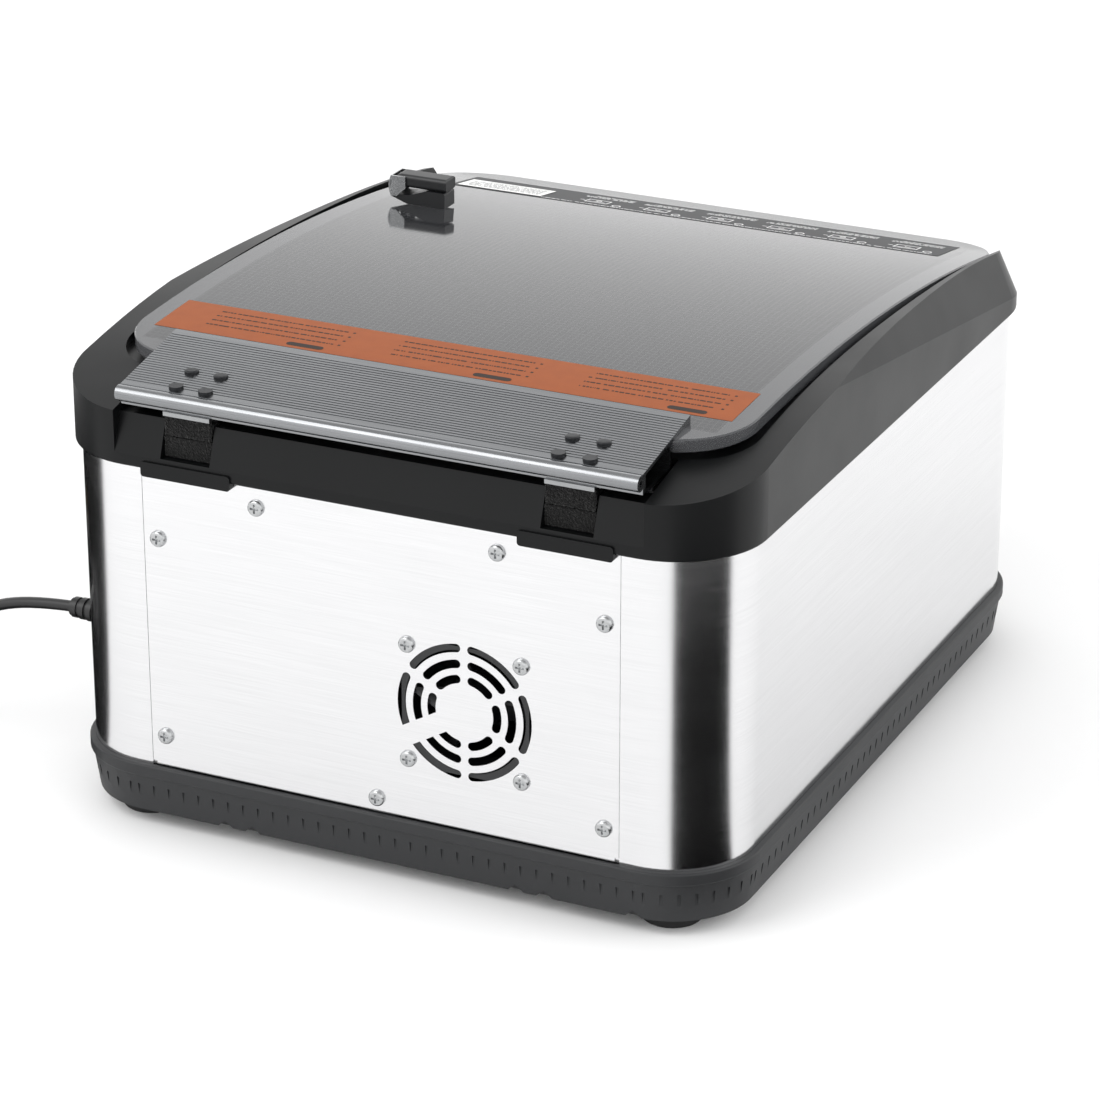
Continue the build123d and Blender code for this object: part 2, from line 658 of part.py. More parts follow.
with BuildPart() as seal_bar:
    with BuildSketch(Plane.XY.offset(bar_bottom)):
        with Locations((0, bar_y)):
            Rectangle(bar_length, bar_thick)
    extrude(amount=bar_height)
    chamfer(edges().filter_by(Axis.X).group_by(Axis.Z)[-1], 1)
    with BuildSketch(Plane.XY.offset(bar_bottom)):
        with Locations((-cylinder_x, bar_y), (cylinder_x, bar_y)):
            Circle(rod_radius)
    extrude(amount=-cylinder_height + 12)
finish(seal_bar, "seal_bar")

ribbon_width = 4.0
ribbon_thick = 0.4
with BuildPart() as seal_ribbon:
    with BuildSketch(Plane.XY.offset(bar_bottom + bar_height)):
        with Locations((0, bar_y)):
            Rectangle(bar_length - 14, ribbon_width)
    extrude(amount=ribbon_thick)
    with BuildSketch(Plane.XY.offset(bar_bottom + bar_height)):
        with Locations((-bar_length / 2 + 6, bar_y), (bar_length / 2 - 6, bar_y)):
            Rectangle(10, 8)
    extrude(amount=1.2)
finish(seal_ribbon, "seal_ribbon")

with BuildPart() as seal_tape:
    with BuildSketch(Plane.XY.offset(bar_bottom + bar_height + ribbon_thick)):
        with Locations((0, bar_y)):
            Rectangle(bar_length - 26, bar_thick - 2)
    extrude(amount=0.3)
finish(seal_tape, "seal_tape")

backing_length = 306.0
backing_thick = 14.0
backing_bottom = bar_bottom + bar_height + lift + 2.5
backing_slot = 8.0
with BuildPart() as backing_bar:
    with BuildSketch(Plane.XY.offset(backing_bottom)):
        with Locations((0, bar_y)):
            Rectangle(backing_length, backing_thick)
    extrude(amount=arch_rise)
    with BuildSketch(Plane.YZ):
        above_arch(lid_thickness + fit, lid_front, lid_rear, apex_z + 60)
    extrude(amount=wide, both=True, mode=Mode.SUBTRACT)
    with BuildSketch(Plane.XY.offset(backing_bottom)):
        with Locations((0, bar_y)):
            Rectangle(backing_length, backing_slot)
    extrude(amount=3, mode=Mode.SUBTRACT)
finish(backing_bar, "backing_bar")

with BuildPart() as silicone_strip:
    with BuildSketch(Plane.XY.offset(backing_bottom - 1.5)):
        with Locations((0, bar_y)):
            Rectangle(backing_length - 6, backing_slot)
    extrude(amount=4.5)
finish(silicone_strip, "silicone_strip")

# %% Lid: arched smoked sheet with rounded corners
with BuildPart() as lid_panel:
    with BuildSketch(Plane.YZ):
        arched_band(0, lid_thickness, lid_front - 20, lid_rear + 20)
    extrude(amount=wide, both=True)
    with BuildSketch():
        with Locations((0, lid_center_y)):
            RectangleRounded(lid_width, lid_depth, lid_corner)
    extrude(amount=2 * wide, mode=Mode.INTERSECT)
    upright = edges().filter_by(Axis.Z)
    chamfer(edges() - upright, 0.8)
finish(lid_panel, "lid_panel")

# %% Hinge extrusion: flange on the lid, hollow box behind it, round bead along its rear edge
bead_radius = 4.7
bead_y = half_d + 6.3 - bead_radius
bead_z = steel_top + 43.5
box_front = lid_rear + 1.5
box_bottom = steel_top + 36.0
extrusion_wall = 2.2
flange_top = steel_top + 60.0
rib_pitch = 2.4
top_rear = (half_d - 1.0, steel_top + 48.0)
top_slope = (top_rear[1] - flange_top) / (top_rear[0] - extrusion_front)


extrusion_head = 4.2
screw_places = [(x + s * screw_columns, y) for x in hinge_centers for s in (-1, 1) for y in screw_rows]


def extrusion_top(y):
    return flange_top + top_slope * (y - extrusion_front)


with BuildPart() as hinge_extrusion:
    with BuildSketch(Plane.YZ):
        with BuildLine():
            Polyline(
                (extrusion_front, arch_z(extrusion_front, -0.1)), (extrusion_front, flange_top), top_rear,
                (top_rear[0], box_bottom), (box_front, box_bottom), (box_front, arch_z(box_front, -0.1)),
                close=True
            )
        make_face()
        with Locations((bead_y, bead_z)):
            Circle(bead_radius)
        with BuildLine():
            inner_front = box_front + extrusion_wall
            inner_rear = top_rear[0] - extrusion_wall - 1.5
            Polyline(
                (inner_front, box_bottom + extrusion_wall), (inner_rear, box_bottom + extrusion_wall),
                (inner_rear, extrusion_top(inner_rear) - extrusion_wall),
                (inner_front, extrusion_top(inner_front) - extrusion_wall), close=True
            )
        make_face(mode=Mode.SUBTRACT)
        with Locations((bead_y, bead_z)):
            Circle(1.6, mode=Mode.SUBTRACT)
        rib_count = int((top_rear[0] - extrusion_front - 8) / rib_pitch)
        for i in range(rib_count):
            y = extrusion_front + 6 + i * rib_pitch
            with Locations(Location((y, extrusion_top(y)), degrees(atan2(top_slope, 1)))):
                Rectangle(0.9, 0.9, mode=Mode.SUBTRACT)
    extrude(amount=extrusion_length / 2, both=True)
    for x, y in screw_places:
        with BuildSketch(Plane.XY.offset(extrusion_top(y) - 1.4)):
            with Locations((x, y)):
                Circle(extrusion_head)
        extrude(amount=8, mode=Mode.SUBTRACT)
        with BuildSketch(Plane.XY.offset(box_bottom - 1)):
            with Locations((x, y)):
                Circle(screw_shank)
        extrude(amount=arch_rise, mode=Mode.SUBTRACT)
finish(hinge_extrusion, "hinge_extrusion")

# %% Two hinges: fixed leaf in the recess, moving leaf under the extrusion, pin through both

leaf_low = steel_top + recess_floor
leaf_high = hinge_z - knuckle_radius
with BuildPart() as hinge_leaves:
    for x in hinge_centers:
        with BuildSketch(Plane(origin=(x, 0, 0), x_dir=(0, 1, 0), z_dir=(1, 0, 0))):
            with Locations((recess_back + leaf_thick / 2, (leaf_low + leaf_high) / 2)):
                Rectangle(leaf_thick, leaf_high - leaf_low)
        extrude(amount=hinge_width / 2, both=True)
        for side in (-1, 1):
            knuckle = (hinge_width - middle_knuckle) / 2 - side_gap
            middle = x + side * (hinge_width - knuckle) / 2
            with BuildSketch(Plane(origin=(middle, 0, 0), x_dir=(0, 1, 0), z_dir=(1, 0, 0))):
                with Locations((hinge_y, hinge_z)):
                    Circle(knuckle_radius)
                with BuildLine():
                    Polyline(
                        (recess_back, hinge_z - knuckle_radius - 1), (hinge_y, hinge_z - knuckle_radius),
                        (hinge_y, hinge_z), (recess_back, hinge_z), close=True
                    )
                make_face()
                with Locations((hinge_y, hinge_z)):
                    Circle(pin_radius, mode=Mode.SUBTRACT)
            extrude(amount=knuckle / 2, both=True)
finish(hinge_leaves, "hinge_leaves")

with BuildPart() as hinge_pins:
    for x in hinge_centers:
        with BuildSketch(Plane(origin=(x, hinge_y, hinge_z), x_dir=(0, 1, 0), z_dir=(1, 0, 0))):
            Circle(pin_radius)
        extrude(amount=hinge_width / 2, both=True)
finish(hinge_pins, "hinge_pins")

arm_front = half_d - 33.0
arm_rear = half_d + 0.5
with BuildPart() as hinge_arms:
    for x in hinge_centers:
        with BuildSketch(Plane(origin=(x, 0, 0), x_dir=(0, 1, 0), z_dir=(1, 0, 0))):
            with Locations(((arm_front + arm_rear) / 2, box_bottom - leaf_thick / 2)):
                Rectangle(arm_rear - arm_front, leaf_thick)
        extrude(amount=hinge_width / 2, both=True)
        with BuildSketch(Plane(origin=(x, 0, 0), x_dir=(0, 1, 0), z_dir=(1, 0, 0))):
            with Locations((hinge_y, hinge_z)):
                Circle(knuckle_radius)
            with Locations((hinge_y, (hinge_z + box_bottom - leaf_thick) / 2)):
                Rectangle(2 * knuckle_radius - 1, box_bottom - leaf_thick - hinge_z)
            with Locations((hinge_y, hinge_z)):
                Circle(pin_radius + running, mode=Mode.SUBTRACT)
        extrude(amount=middle_knuckle / 2, both=True)
        with BuildSketch(Plane.XY.offset(box_bottom)):
            with Locations(*[(x + s * screw_columns, y) for s in (-1, 1) for y in screw_rows]):
                Circle(screw_shank)
        extrude(amount=-leaf_thick, mode=Mode.SUBTRACT)
finish(hinge_arms, "hinge_arms")

with BuildPart() as extrusion_screws:
    for x, y in screw_places:
        with BuildSketch(Plane.XY.offset(extrusion_top(y) + 1.6)):
            with Locations((x, y)):
                Circle(extrusion_head)
        extrude(amount=-3.0)
        chamfer(edges().group_by(Axis.Z)[-1], 0.6)
        with BuildSketch(Plane.XY.offset(extrusion_top(y))):
            with Locations((x, y)):
                Circle(screw_shank)
        extrude(amount=box_bottom - leaf_thick - extrusion_top(y))
finish(extrusion_screws, "extrusion_screws")

# %% Lid catch near the lid's +X edge: wedge foot, spring strap, pin and lever
catch_y = -112.0
catch_depth = 14.0
catch_inner = 134.0
catch_outer = 171.0
catch_low = arch_z(catch_y + catch_depth / 2) + 0.1
catch_toe = 3.5               # height of the foot's thin end
catch_mid = catch_low + 10.5
catch_high = catch_low + 19.0
strap_thick = 1.0
strap_bulge = 2.0
catch_pin_radius = 1.5
lever_round = 2.4
lever_pin_x = catch_outer - 5.5
catch_plane = Plane(origin=(0, catch_y, 0), x_dir=(1, 0, 0), z_dir=(0, -1, 0))
with BuildPart() as catch_foot:
    with BuildSketch(catch_plane):
        with BuildLine():
            Polyline(
                (catch_inner, catch_low), (catch_outer - 10, catch_low), (catch_outer, catch_low + catch_toe),
                (catch_outer, catch_low + catch_toe + 2.0), (catch_outer - 12, catch_low + catch_toe + 2.4),
                (catch_outer - 24, catch_mid - 0.3),
                (catch_inner + 1, catch_mid - 0.3), (catch_inner, catch_mid - 1.3), close=True
            )
        make_face()
    extrude(amount=catch_depth / 2, both=True)
finish(catch_foot, "catch_foot")

with BuildPart() as catch_strap:
    with BuildSketch(catch_plane):
        with BuildLine():
            low = (catch_outer, catch_low + catch_toe)
            high = (catch_outer, catch_high - 1)
            strap_mid = (low[1] + high[1]) / 2
            strap_out = catch_outer + strap_bulge + strap_thick
            low_out, high_out = (low[0] + strap_thick, low[1]), (high[0] + strap_thick, high[1])
            ThreePointArc(low_out, (strap_out, strap_mid), high_out)
            Line(high, high_out)
            ThreePointArc(low, (catch_outer + strap_bulge, strap_mid), high)
            Line(low, low_out)
        make_face()
    extrude(amount=catch_depth / 2, both=True)
    for side in (-1, 1):
        with BuildSketch(catch_plane.offset(side * (catch_depth / 2 + strap_thick / 2))):
            with BuildLine():
                Polyline(
                    (catch_outer + strap_thick, low[1] + 1), (catch_outer + strap_thick, catch_high - 1),
                    (lever_pin_x - 4, catch_high - 1), (lever_pin_x - 4, catch_mid),
                    (catch_outer - 3, low[1] + 1), close=True
                )
            make_face()
        extrude(amount=strap_thick / 2, both=True)
    with BuildSketch(catch_plane):
        with Locations((lever_pin_x, (catch_mid + catch_high) / 2)):
            Circle(catch_pin_radius)
    extrude(amount=catch_depth / 2 + strap_thick / 2, both=True)
finish(catch_strap, "catch_strap")

with BuildPart() as catch_lever:
    with BuildSketch(catch_plane):
        with BuildLine():
            Polyline(
                (lever_pin_x, catch_high), (catch_inner, catch_high), (catch_inner - 1, catch_high - 1),
                (catch_inner - 1, catch_mid + 1), (catch_inner, catch_mid), (lever_pin_x, catch_mid)
            )
            pin_z = (catch_mid + catch_high) / 2
            end_radius = pin_z - catch_mid
            lever_tip = (lever_pin_x + end_radius, pin_z)
            ThreePointArc((lever_pin_x, catch_mid), lever_tip, (lever_pin_x, catch_high))
        make_face()
        with Locations((lever_pin_x, pin_z)):
            Circle(catch_pin_radius + running, mode=Mode.SUBTRACT)
    extrude(amount=catch_depth / 2 - side_gap, both=True)
    long_edges = catch_lever.edges().filter_by(Axis.X).filter_by(lambda edge: edge.length > 20)
    fillet(long_edges, radius=lever_round)
finish(catch_lever, "catch_lever")

# %% Control fascia on the front, display, buttons, tact switches and board
board_y = -half_d + 12.0
board_thick = 1.6
button_travel = 1.2
button_proud = 1.8
switch_radius = 3.0
button_back = board_y - 4.0          # rear face of a button's stem
with BuildPart() as control_fascia:
    with BuildSketch(front_plane(0, fascia_z)):
        RectangleRounded(fascia_width, fascia_height, 10)
        with Locations((gauge_x, 0)):
            Circle(gauge_hole, mode=Mode.SUBTRACT)
        with Locations((display_x, 0)):
            Rectangle(display_w, display_h, mode=Mode.SUBTRACT)
        with Locations(*button_points):
            Circle(button_radius + button_gap, mode=Mode.SUBTRACT)
        with Locations((rocker_x, 0)):
            Rectangle(rocker_w, rocker_h, mode=Mode.SUBTRACT)
    extrude(amount=fascia_thick)
    fillet(edges().group_by(Axis.Y)[0].sort_by(SortBy.LENGTH)[-4:], 0.8)
    with BuildSketch(front_plane(0, fascia_z)):
        with Locations(*boss_points):
            Circle(boss_radius)
    extrude(amount=-(board_y + half_d))
finish(control_fascia, "control_fascia")

with BuildPart() as display_window:
    with BuildSketch(front_plane(display_x, fascia_z, -half_d - fascia_thick + 0.6)):
        Rectangle(display_w, display_h)
    extrude(amount=-6)
finish(display_window, "display_window")

with BuildPart() as control_board:
    with BuildSketch(front_plane(0, fascia_z, board_y)):
        with Locations((14, 0)):
            Rectangle(190, 88)
    extrude(amount=-board_thick)
    with BuildSketch(front_plane(0, fascia_z, board_y)):
        with Locations(*button_points):
            RectangleRounded(6, 6, 0.5)
    extrude(amount=4 - button_travel - 0.1)
finish(control_board, "control_board")

button_names = ["vacuum_button", "gas_button", "seal_button", "cool_button", "stop_button", "set_button"]
for name, (x, z) in zip(button_names, button_points):
    with BuildPart() as push_button:
        with BuildSketch(front_plane(x, fascia_z + z, -half_d - fascia_thick - button_proud)):
            Circle(button_radius)
        extrude(amount=-(fascia_thick + button_proud + 1))
        fillet(edges().group_by(Axis.Y)[0], 0.8)
        with BuildSketch(front_plane(x, fascia_z + z, -half_d)):
            Circle(switch_radius)
        extrude(amount=-(button_back + half_d))
    finish(push_button, name)

# %% Vacuum gauge: case through the wrap, printed dial, needle and glass
gauge_bezel = 6.3            # stands this far out of the stainless
case_depth = 24.0
needle_length = 16.0
needle_thick = 0.6
with BuildPart() as gauge_case:
    with BuildSketch(front_plane(gauge_x, fascia_z, -half_d - fascia_thick)):
        Circle(gauge_hole + 3.5)
    extrude(amount=gauge_bezel - fascia_thick)
    fillet(edges().group_by(Axis.Y)[0], 1.5)
    with BuildSketch(front_plane(gauge_x, fascia_z, -half_d - fascia_thick)):
        Circle(gauge_hole - fit)
    extrude(amount=-(case_depth + fascia_thick))
    with BuildSketch(front_plane(gauge_x, fascia_z, -half_d - gauge_bezel)):
        Circle(gauge_hole - 2.5)
    extrude(amount=-(gauge_bezel + 2.0), mode=Mode.SUBTRACT)
    with BuildSketch(front_plane(gauge_x, fascia_z, -half_d + case_depth)):
        Circle(5)
    extrude(amount=-10)
finish(gauge_case, "gauge_case")

with BuildPart() as gauge_dial:
    with BuildSketch(front_plane(gauge_x, fascia_z, -half_d + 2.0)):
        Circle(gauge_hole - 2.5)
    extrude(amount=3.0)
    with BuildSketch(front_plane(gauge_x, fascia_z, -half_d - 1.0)):
        Circle(1.2)
    extrude(amount=1.6)
finish(gauge_dial, "gauge_dial")

with BuildPart() as gauge_needle:
    with BuildSketch(front_plane(gauge_x, fascia_z, -half_d - 1.6)):
        with Locations(Location((0, 0, 0), (0, 0, 225))):
            with Locations((needle_length / 2 - 2, 0)):
                Rectangle(needle_length, 1.3)
        Circle(2.6)
        Circle(1.2 + running, mode=Mode.SUBTRACT)
    extrude(amount=needle_thick)
finish(gauge_needle, "gauge_needle")

with BuildPart() as gauge_glass:
    with BuildSketch(front_plane(gauge_x, fascia_z, -half_d - gauge_bezel + 2.8)):
        Circle(gauge_hole - 2.5)
    extrude(amount=1.8)
finish(gauge_glass, "gauge_glass")

# %% Power rocker in its frame
rocker_body_depth = 20.0
rocker_wall = 2.0
with BuildPart() as rocker_frame:
    with BuildSketch(front_plane(rocker_x, fascia_z, -half_d - fascia_thick)):
        Rectangle(rocker_w + 4, rocker_h + 4)
    extrude(amount=1.5)
    with BuildSketch(front_plane(rocker_x, fascia_z, -half_d - fascia_thick)):
        Rectangle(rocker_w - 2 * fit, rocker_h - 2 * fit)
    extrude(amount=-rocker_body_depth)
    with BuildSketch(front_plane(rocker_x, fascia_z, -half_d - fascia_thick - 1.5)):
        Rectangle(rocker_w - 2 * rocker_wall, rocker_h - 2 * rocker_wall)
    extrude(amount=-12, mode=Mode.SUBTRACT)
    with BuildSketch(Plane(origin=(rocker_x, -half_d, fascia_z), x_dir=(0, 1, 0), z_dir=(1, 0, 0))):
        Circle(1.5 + running)
    extrude(amount=rocker_w / 2 - 0.6, both=True, mode=Mode.SUBTRACT)
finish(rocker_frame, "rocker_frame")

rocker_tilt = 8.0
with BuildPart() as power_rocker:
    with BuildSketch(Plane(origin=(rocker_x, -half_d, fascia_z), x_dir=(0, 1, 0), z_dir=(1, 0, 0))):
        with Locations(Location((0, 0, 0), (0, 0, rocker_tilt))):
            with BuildLine():
                face_y = -fascia_thick - 1.5 - 0.4
                reach = rocker_h / 2 - rocker_wall - 1.0
                ThreePointArc((face_y, -reach), (face_y + 1.6, 0), (face_y, reach))
                Polyline((face_y, reach), (1.0, reach - 2.2), (2.5, 0), (1.0, -reach + 2.2), (face_y, -reach))
            make_face()
    extrude(amount=rocker_w / 2 - rocker_wall - 0.4, both=True)
    with BuildSketch(Plane(origin=(rocker_x, -half_d, fascia_z), x_dir=(0, 1, 0), z_dir=(1, 0, 0))):
        Circle(1.5)
    extrude(amount=rocker_w / 2 - 0.8, both=True)
finish(power_rocker, "power_rocker")

# %% Vacuum pump and motor on a plate and four rubber mounts
tray_floor = base_bottom + tray_wall
mount_height = 12.0
pump_x = 20.0
pump_y = 20.0
pump_plate_w = 250.0
pump_plate_d = 130.0
pump_base = tray_floor + mount_height
plate_sheet = 3.0
axis_z = pump_base + plate_sheet + 52.0
motor_radius = 44.0
motor_length = 110.0
crank_w = 70.0
with BuildPart() as pump_mounts:
    with BuildSketch(Plane.XY.offset(tray_floor)):
        with Locations((pump_x, pump_y)):
            with GridLocations(pump_plate_w - 30, pump_plate_d - 30, 2, 2):
                Circle(10)
    extrude(amount=mount_height)
finish(pump_mounts, "pump_mounts")

with BuildPart() as pump_plate:
    with BuildSketch(Plane.XY.offset(pump_base)):
        with Locations((pump_x, pump_y)):
            RectangleRounded(pump_plate_w, pump_plate_d, 8)
    extrude(amount=plate_sheet)
finish(pump_plate, "pump_plate")

motor_left = pump_x - pump_plate_w / 2 + 34
with BuildPart() as pump_motor:
    with BuildSketch(Plane(origin=(motor_left, pump_y, axis_z), x_dir=(0, 1, 0), z_dir=(1, 0, 0))):
        Circle(motor_radius - 4)
        with PolarLocations(motor_radius - 4, 24):
            Rectangle(8, 2.2)
    extrude(amount=motor_length)
    with BuildSketch(Plane.XY.offset(pump_base + plate_sheet)):
        with Locations((motor_left + motor_length / 2, pump_y)):
            Rectangle(motor_length - 20, 60)
    extrude(amount=22)
    with BuildSketch(Plane(origin=(motor_left, pump_y, axis_z), x_dir=(0, 1, 0), z_dir=(1, 0, 0))):
        Circle(4 + running)
    extrude(amount=12, mode=Mode.SUBTRACT)
finish(pump_motor, "pump_motor")

with BuildPart() as motor_fan:
    with BuildSketch(Plane(origin=(motor_left - 14, pump_y, axis_z), x_dir=(0, 1, 0), z_dir=(1, 0, 0))):
        Circle(12)
        with PolarLocations(24, 8):
            Rectangle(30, 2)
    extrude(amount=11)
    with BuildSketch(Plane(origin=(motor_left - 14, pump_y, axis_z), x_dir=(0, 1, 0), z_dir=(1, 0, 0))):
        Circle(4)
    extrude(amount=24)
finish(motor_fan, "motor_fan")

crank_left = motor_left + motor_length
with BuildPart() as pump_crankcase:
    with BuildSketch(Plane.XY.offset(pump_base + plate_sheet)):
        with Locations((crank_left + crank_w / 2, pump_y)):
            RectangleRounded(crank_w, 90, 8)
    extrude(amount=80)
    fillet(edges().group_by(Axis.Z)[-1], 5)
finish(pump_crankcase, "pump_crankcase")

head_z = pump_base + plate_sheet + 80
with BuildPart() as pump_head:
    with BuildSketch(Plane.XY.offset(head_z)):
        with Locations((crank_left + crank_w / 2, pump_y)):
            Circle(26)
    extrude(amount=26)
    for i in range(5):
        with BuildSketch(Plane.XY.offset(head_z + 2 + 5 * i)):
            with Locations((crank_left + crank_w / 2, pump_y)):
                RectangleRounded(62, 62, 6)
        extrude(amount=2.4)
finish(pump_head, "pump_head")

# %% Solenoid valve and vacuum hose
port_x = 128.0
port_y = 90.0
valve_z = chamber_floor - tub_sheet
with BuildPart() as solenoid_valve:
    with BuildSketch(Plane.XY.offset(valve_z - 34)):
        with Locations((port_x, port_y)):
            RectangleRounded(34, 34, 4)
    extrude(amount=28)
    with BuildSketch(Plane.XY.offset(valve_z)):
        with Locations((port_x, port_y)):
            Circle(9)
    extrude(amount=-10)
    with BuildSketch(Plane.XY.offset(valve_z - 34)):
        with Locations((port_x, port_y)):
            Circle(6)
    extrude(amount=-14)
finish(solenoid_valve, "solenoid_valve")

hose_radius = 5.5
hose_top = valve_z - 48
inlet_z = (pump_base + plate_sheet + hose_top) / 2
hose_end = (crank_left + crank_w, pump_y, inlet_z)
with BuildPart() as vacuum_hose:
    with BuildLine():
        FilletPolyline(
            (port_x, port_y, hose_top), (port_x, port_y, inlet_z), (port_x, pump_y, inlet_z), hose_end, radius=9
        )
    with BuildSketch(Plane(origin=(port_x, port_y, hose_top), z_dir=(0, 0, -1))):
        Circle(hose_radius)
    sweep()
finish(vacuum_hose, "vacuum_hose")

# %% Seal transformer, power board and terminal block
transformer_x = -110.0
transformer_y = -150.0
with BuildPart() as transformer_core:
    with BuildSketch(Plane.XY.offset(tray_floor)):
        with Locations((transformer_x, transformer_y)):
            Rectangle(96, 44)
    extrude(amount=80)
    with BuildSketch(front_plane(transformer_x, tray_floor + 40, transformer_y)):
        with Locations((-24, 0), (24, 0)):
            Rectangle(18, 50)
    extrude(amount=30, both=True, mode=Mode.SUBTRACT)
finish(transformer_core, "transformer_core")

with BuildPart() as transformer_winding:
    with BuildSketch(Plane.XY.offset(tray_floor + 16)):
        with Locations((transformer_x, transformer_y)):
            RectangleRounded(65, 78, 6)
            Rectangle(30, 44, mode=Mode.SUBTRACT)
    extrude(amount=48)
finish(transformer_winding, "transformer_winding")

with BuildPart() as power_board:
    with BuildSketch(Plane.XY.offset(tray_floor + standoff)):
        with Locations((board_x, board_y_low)):
            Rectangle(160, 90)
    extrude(amount=board_thick)
    with BuildSketch(Plane.XY.offset(tray_floor + standoff + board_thick)):
        with Locations((board_x - 40, board_y_low + 10)):
            Rectangle(24, 28)
        with Locations((board_x + 20, board_y_low - 12)):
            Circle(9)
        with Locations((board_x + 52, board_y_low + 14)):
            Rectangle(18, 22)
    extrude(amount=20)
    with BuildSketch(Plane.XY.offset(tray_floor + standoff + board_thick)):
        with Locations((board_x - 4, board_y_low + 36)):
            Rectangle(60, 14)
    extrude(amount=12)
    with BuildSketch(Plane.XY.offset(tray_floor + standoff + board_thick + 12)):
        with Locations((board_x - 4, board_y_low + 36)):
            with GridLocations(14, 1, 4, 1):
                Circle(4)
    extrude(amount=-5, mode=Mode.SUBTRACT)
finish(power_board, "power_board")

# %% Mains lead: strain relief in the wrap's +X side, lead, coil and plug
relief_reach = 28.0
relief_flange = 9.0
relief_tip = half_w + relief_reach
with BuildPart() as strain_relief:
    with BuildSketch(Plane(origin=(half_w, lead_y, lead_z), x_dir=(0, 1, 0), z_dir=(1, 0, 0))):
        Circle(relief_flange)
    extrude(amount=4)
    with BuildSketch(Plane(origin=(half_w, lead_y, lead_z), x_dir=(0, 1, 0), z_dir=(1, 0, 0))):
        Circle(relief_hole)
    extrude(amount=-8)
    with BuildSketch(Plane(origin=(half_w + 4, lead_y, lead_z), x_dir=(0, 1, 0), z_dir=(1, 0, 0))):
        Circle(5.5)
    extrude(amount=relief_reach - 4)
    for i in range(4):
        ring_x = half_w + 7 + 5.4 * i
        with BuildSketch(Plane(origin=(ring_x, lead_y, lead_z), x_dir=(0, 1, 0), z_dir=(1, 0, 0))):
            Circle(7.4 - 0.35 * i)
        extrude(amount=3.2)
finish(strain_relief, "strain_relief")

coil_x = relief_tip + 230.5
coil_turn = 38.5
coil_height = 4 * lead_radius + 0.4
coil_half_band = 3 * lead_radius + 0.2
coil_y = lead_y - coil_turn - coil_half_band + lead_radius
coil_outer = coil_turn + coil_half_band
entry = (coil_x, lead_y, lead_radius + 0.2)
drop = [
    (0, 0, lead_z), (26.5, 0, 101.0), (57.5, 0.4, 93.0), (86.5, 0.8, 75.0), (110.5, 0.6, 50.0),
    (137.5, 0.3, 27.0), (168.5, 0.1, 11.0), (200.5, 0, 4.6),
]
lead_points = [(relief_tip + x, lead_y + y, z) for x, y, z in drop] + [entry]


def route_radii(points):
    """Arc radius at each inner point: 0.45 of the shorter run over the tangent of half the turn."""
    radii = []
    for before, here, after in zip(points, points[1:], points[2:]):
        first = Vector(*here) - Vector(*before)
        second = Vector(*after) - Vector(*here)
        turn = first.get_angle(second)
        radii.append(0.45 * min(first.length, second.length) / tan(radians(turn / 2)))
    return radii


lead_radii = route_radii(lead_points)
print("lead radii", [round(r, 1) for r in lead_radii])
with BuildPart() as mains_lead:
    with BuildLine():
        lead_path = FilletPolyline(*lead_points, radius=lead_radii)
    with BuildSketch(Plane(origin=lead_path @ 0, z_dir=lead_path % 0)):
        Circle(lead_radius)
    sweep()
lead_section = pi * lead_radius ** 2
print("lead volume over section times length", mains_lead.part.volume / (lead_section * lead_path.length))
finish(mains_lead, "mains_lead")

with BuildPart() as lead_coil:
    with BuildSketch(Plane.XY):
        with Locations((coil_x, coil_y)):
            Circle(coil_outer)
            Circle(coil_turn - coil_half_band, mode=Mode.SUBTRACT)
    extrude(amount=coil_height)
    chamfer(edges().filter_by(GeomType.CIRCLE), 1.0)
finish(lead_coil, "lead_coil")

plug_entry = (coil_x + coil_outer - lead_radius, coil_y, coil_height - lead_radius)
plug_y = coil_y - 120.0
plug_points = [
    plug_entry, (plug_entry[0], coil_y - 34, 8.6),
    (plug_entry[0] - 4, coil_y - 64, 4.6), (plug_entry[0] - 12, coil_y - 92, 6.4),
    (plug_entry[0] - 16, plug_y, 11.0),
]
plug_radii = route_radii(plug_points)
print("plug lead radii", [round(r, 1) for r in plug_radii])
with BuildPart() as plug_lead:
    with BuildLine():
        plug_path = FilletPolyline(*plug_points, radius=plug_radii)
    with BuildSketch(Plane(origin=plug_path @ 0, z_dir=plug_path % 0)):
        Circle(lead_radius)
    sweep()
finish(plug_lead, "plug_lead")

plug_x = plug_entry[0] - 16
plug_size = 46.0
plug_height = 24.0
with BuildPart() as plug_body:
    with BuildSketch(Plane.XY):
        with Locations((plug_x, plug_y - 6 - plug_size / 2)):
            RectangleRounded(plug_size, plug_size, 9)
    extrude(amount=plug_height, taper=4)
    fillet(edges().group_by(Axis.Z)[-1], 3)
    with BuildSketch(Plane(origin=(plug_x, plug_y, 11.0), x_dir=(1, 0, 0), z_dir=(0, -1, 0))):
        Circle(5.5)
    extrude(amount=10)
finish(plug_body, "plug_body")

with BuildPart() as plug_pins:
    pin_y = plug_y - 6 - plug_size / 2
    with BuildSketch(Plane.XY.offset(plug_height)):
        with Locations((plug_x, pin_y + 11)):
            Rectangle(4, 8)
        with Locations((plug_x - 11.1, pin_y - 11), (plug_x + 11.1, pin_y - 11)):
            Rectangle(6.3, 4)
    extrude(amount=17)
    chamfer(edges().group_by(Axis.Z)[-1], 0.8)
finish(plug_pins, "plug_pins")
